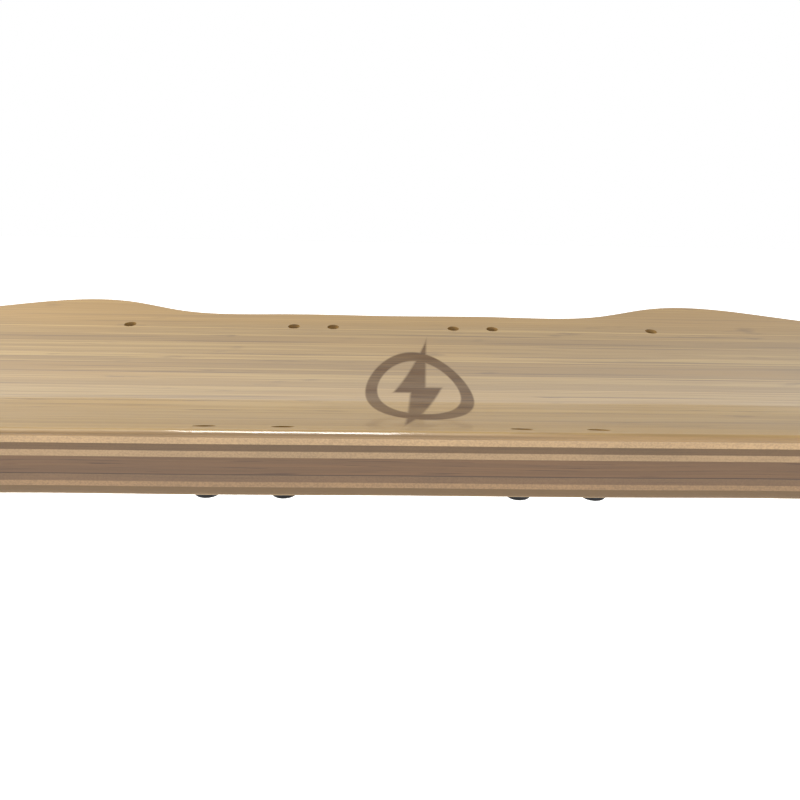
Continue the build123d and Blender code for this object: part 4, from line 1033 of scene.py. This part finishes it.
class SKATE_OT_motors(bpy.types.Operator):
    """Finish the motors' cans and insides and make their covers"""

    bl_idname = "skateboard.motors"
    bl_label = "Hub motors"

    def execute(self, context):
        look = context.scene.skateboard_wheels
        for side, sign in SIDES:
            centre = middle(f"rear_{side}_motor_can")
            black = turned_metal(f"rear_{side}_can_anodised", (0.13, 0.13, 0.14), 0.32, centre)
            bright = turned_metal(f"rear_{side}_cover_machined", (0.52, 0.53, 0.55), 0.26, centre)
            paint(black, f"rear_{side}_motor_can")
            node = f"rear_{side}_motor_bearings"
            low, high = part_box(node)
            race = (high.z - low.z) / 2
            finish = bearing_finish(f"rear_{side}_bearing_steel", centre, race, STATOR_SHAFT)
            bearing_pair(node, sign, finish, race, STATOR_SHAFT, MOTOR_BEARING_WIDTH)
            paint(wound_stator(f"rear_{side}_windings", centre), f"rear_{side}_stator")
            self.cover(look, side, sign, bright)
        return {"FINISHED"}

    def cover(self, look, side, sign, material):
        """A cover with a raised rim, ribs, a centre cap and six screws."""
        node = f"rear_{side}_motor_cover"
        low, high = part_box(node)
        outer = (high.z - low.z) / 2
        top = (high.y - low.y) / 2
        plate = top - COVER_PLATE
        field = top - COVER_SINK
        cap_top = top - CAP_SINK
        cap_base = cap_top - CAP_THICKNESS
        ledge = MOTOR_BEARING_HOLE - CAP_LEDGE
        shape = Shape().turned(
            [
                (MOTOR_BEARING_HOLE, plate),
                (MOTOR_BEARING_HOLE, -top),
                (MOTOR_BOSS, -top),
                (MOTOR_BOSS, plate),
                (outer, plate),
                (outer, top - COVER_RIM_CHAMFER),
                (outer - COVER_RIM_CHAMFER, top),
                (outer - COVER_RIM, top),
                (outer - COVER_RIM - COVER_RIM_SLOPE, field),
                (CAP_RADIUS + CAP_SLOPE, field),
                (CAP_RADIUS, cap_top),
                (0.0, cap_top),
                (0.0, cap_base),
                (ledge, cap_base),
                (ledge, plate),
            ],
            128,
            0.0003,
        )
        for index in range(look.rib_count):
            turn = (index + 0.5) * 2 * math.pi / look.rib_count
            shape.block(RIB_SIZE, (RIB_MIDDLE, 0.0, top - RIB_SINK), 0.0005, turn)
        screw = [
            (0.0, -SCREW_SOCKET_DEPTH),
            (SCREW_SOCKET_RADIUS, -SCREW_SOCKET_DEPTH),
            (SCREW_SOCKET_RADIUS, 0.0),
            (SCREW_HEAD_RADIUS, 0.0),
            (SCREW_HEAD_RADIUS, -SCREW_HEAD_HEIGHT),
            (0.0, -SCREW_HEAD_HEIGHT),
        ]
        for index in range(COVER_SCREWS):
            turn = index * 2 * math.pi / COVER_SCREWS
            spot = (math.cos(turn) * SCREW_CIRCLE, math.sin(turn) * SCREW_CIRCLE, top - SCREW_SINK)
            shape.turned(screw, 24, 0.0002, spot)
        shape.place(f"{node}_ribbed", along_y(middle(node), sign), material, node)


def softbox(name, place, size, power):
    """Adds a round soft light that shines straight down."""
    light = bpy.data.lights.new(name, "AREA")
    light.shape = "DISK"
    light.size = size
    light.energy = power
    lamp = bpy.data.objects.new(name, light)
    lamp.location = place
    bpy.context.scene.collection.objects.link(lamp)
    return lamp


class SKATE_OT_stage(bpy.types.Operator):
    """Add the floor, the lights and the camera"""

    bl_idname = "skateboard.stage"
    bl_label = "Stage"

    def execute(self, context):
        look = context.scene.skateboard_stage
        heart = middle("veneer_top")
        heart.z = deck_surface(context)

        finish = Finish(
            "floor_paint",
            Roughness=0.9,
            Emission_Color=(1.0, 1.0, 1.0, 1.0),
            Emission_Strength=look.table_glow,
        )
        soft = finish.noise((2.0, 2.0, 2.0), 2.0)
        finish.colour(finish.shade(soft, 0.3, 0.7, (0.955,) * 3, (0.97,) * 3))
        # Seen from below, the table lets the view through
        surface = finish.tree.nodes["Material Output"].inputs["Surface"]
        clear = finish.add("ShaderNodeBsdfTransparent")
        one_way = finish.add("ShaderNodeMixShader")
        finish.feed(one_way.inputs[0], finish.add("ShaderNodeNewGeometry").outputs["Backfacing"])
        finish.tree.links.new(finish.shader.outputs["BSDF"], one_way.inputs[1])
        finish.tree.links.new(clear.outputs["BSDF"], one_way.inputs[2])
        finish.tree.links.new(one_way.outputs["Shader"], surface)
        bm = bmesh.new()
        bmesh.ops.create_grid(bm, x_segments=1, y_segments=1, size=8.0)
        new_piece("floor", bm, finish.material)

        world = bpy.data.worlds.new("room")
        world.use_nodes = True
        background = world.node_tree.nodes["Background"]
        background.inputs["Color"].default_value = (1.0, 1.0, 1.0, 1.0)
        background.inputs["Strength"].default_value = look.world_strength
        context.scene.world = world

        above = heart + Vector((-0.19, -0.60, 1.0))
        strip = softbox("strip_softbox", above, look.strip_length, look.strip_power)
        strip.data.shape = "RECTANGLE"
        strip.data.size_y = look.strip_length * 1.8
        strip.visible_diffuse = False
        for name, offset, size, share in (
            ("key_softbox", (-0.85, 0.05, 0.50), 0.6, 1.0),
            ("fill_softbox", (0.6, -1.0, 0.12), 1.2, 0.15),
        ):
            lamp = softbox(name, heart + Vector(offset), size, look.key_power * share)
            aim = heart - lamp.location
            lamp.rotation_euler = aim.to_track_quat("-Z", "Y").to_euler()

        camera_data = bpy.data.cameras.new("camera")
        camera_data.lens = look.lens
        camera_data.sensor_width = 36.0
        camera_data.clip_start = 0.01
        camera_data.clip_end = 50.0
        camera = bpy.data.objects.new("camera", camera_data)
        spot = heart + Vector(look.camera_offset)
        turn = (
            Matrix.Rotation(-look.camera_yaw, 4, "Z")
            @ Matrix.Rotation(math.pi / 2 - look.camera_pitch, 4, "X")
            @ Matrix.Rotation(look.camera_roll, 4, "Z")
        )
        camera.matrix_world = Matrix.Translation(spot) @ turn
        context.scene.collection.objects.link(camera)
        context.scene.camera = camera
        context.scene.view_settings.view_transform = "Standard"
        return {"FINISHED"}


# ------------------------------------------------------------------ panel and main


class SKATE_PT_panel(bpy.types.Panel):
    """Lists the skateboard's pieces"""

    bl_idname = "SKATE_PT_panel"
    bl_label = "Electric skateboard"
    bl_space_type = "VIEW_3D"
    bl_region_type = "UI"
    bl_category = "Skateboard"

    def draw(self, context):
        for operator in OPERATORS:
            self.layout.operator(operator.bl_idname)
        for group in GROUPS:
            settings = getattr(context.scene, group)
            for name in settings.__annotations__:
                self.layout.prop(settings, name)


OPERATORS = (
    SKATE_OT_deck,
    SKATE_OT_fasteners,
    SKATE_OT_housings,
    SKATE_OT_electronics,
    SKATE_OT_trucks,
    SKATE_OT_wheels,
    SKATE_OT_motors,
    SKATE_OT_stage,
)
GROUPS = {
    "skateboard_deck": SKATE_PG_deck,
    "skateboard_trucks": SKATE_PG_trucks,
    "skateboard_wheels": SKATE_PG_wheels,
    "skateboard_housing": SKATE_PG_housing,
    "skateboard_stage": SKATE_PG_stage,
}


def register():
    """Registers the add-on's classes and settings."""
    for item in (*GROUPS.values(), *OPERATORS, SKATE_PT_panel):
        bpy.utils.register_class(item)
    for name, group in GROUPS.items():
        setattr(bpy.types.Scene, name, bpy.props.PointerProperty(type=group))


def unregister():
    """Takes them away again."""
    for name in GROUPS:
        delattr(bpy.types.Scene, name)
    for item in (SKATE_PT_panel, *reversed(OPERATORS), *GROUPS.values()):
        bpy.utils.unregister_class(item)


def main():
    """Builds every piece."""
    register()
    for operator in OPERATORS:
        group, name = operator.bl_idname.split(".")
        getattr(getattr(bpy.ops, group), name)()


if __name__ == "__main__":
    main()
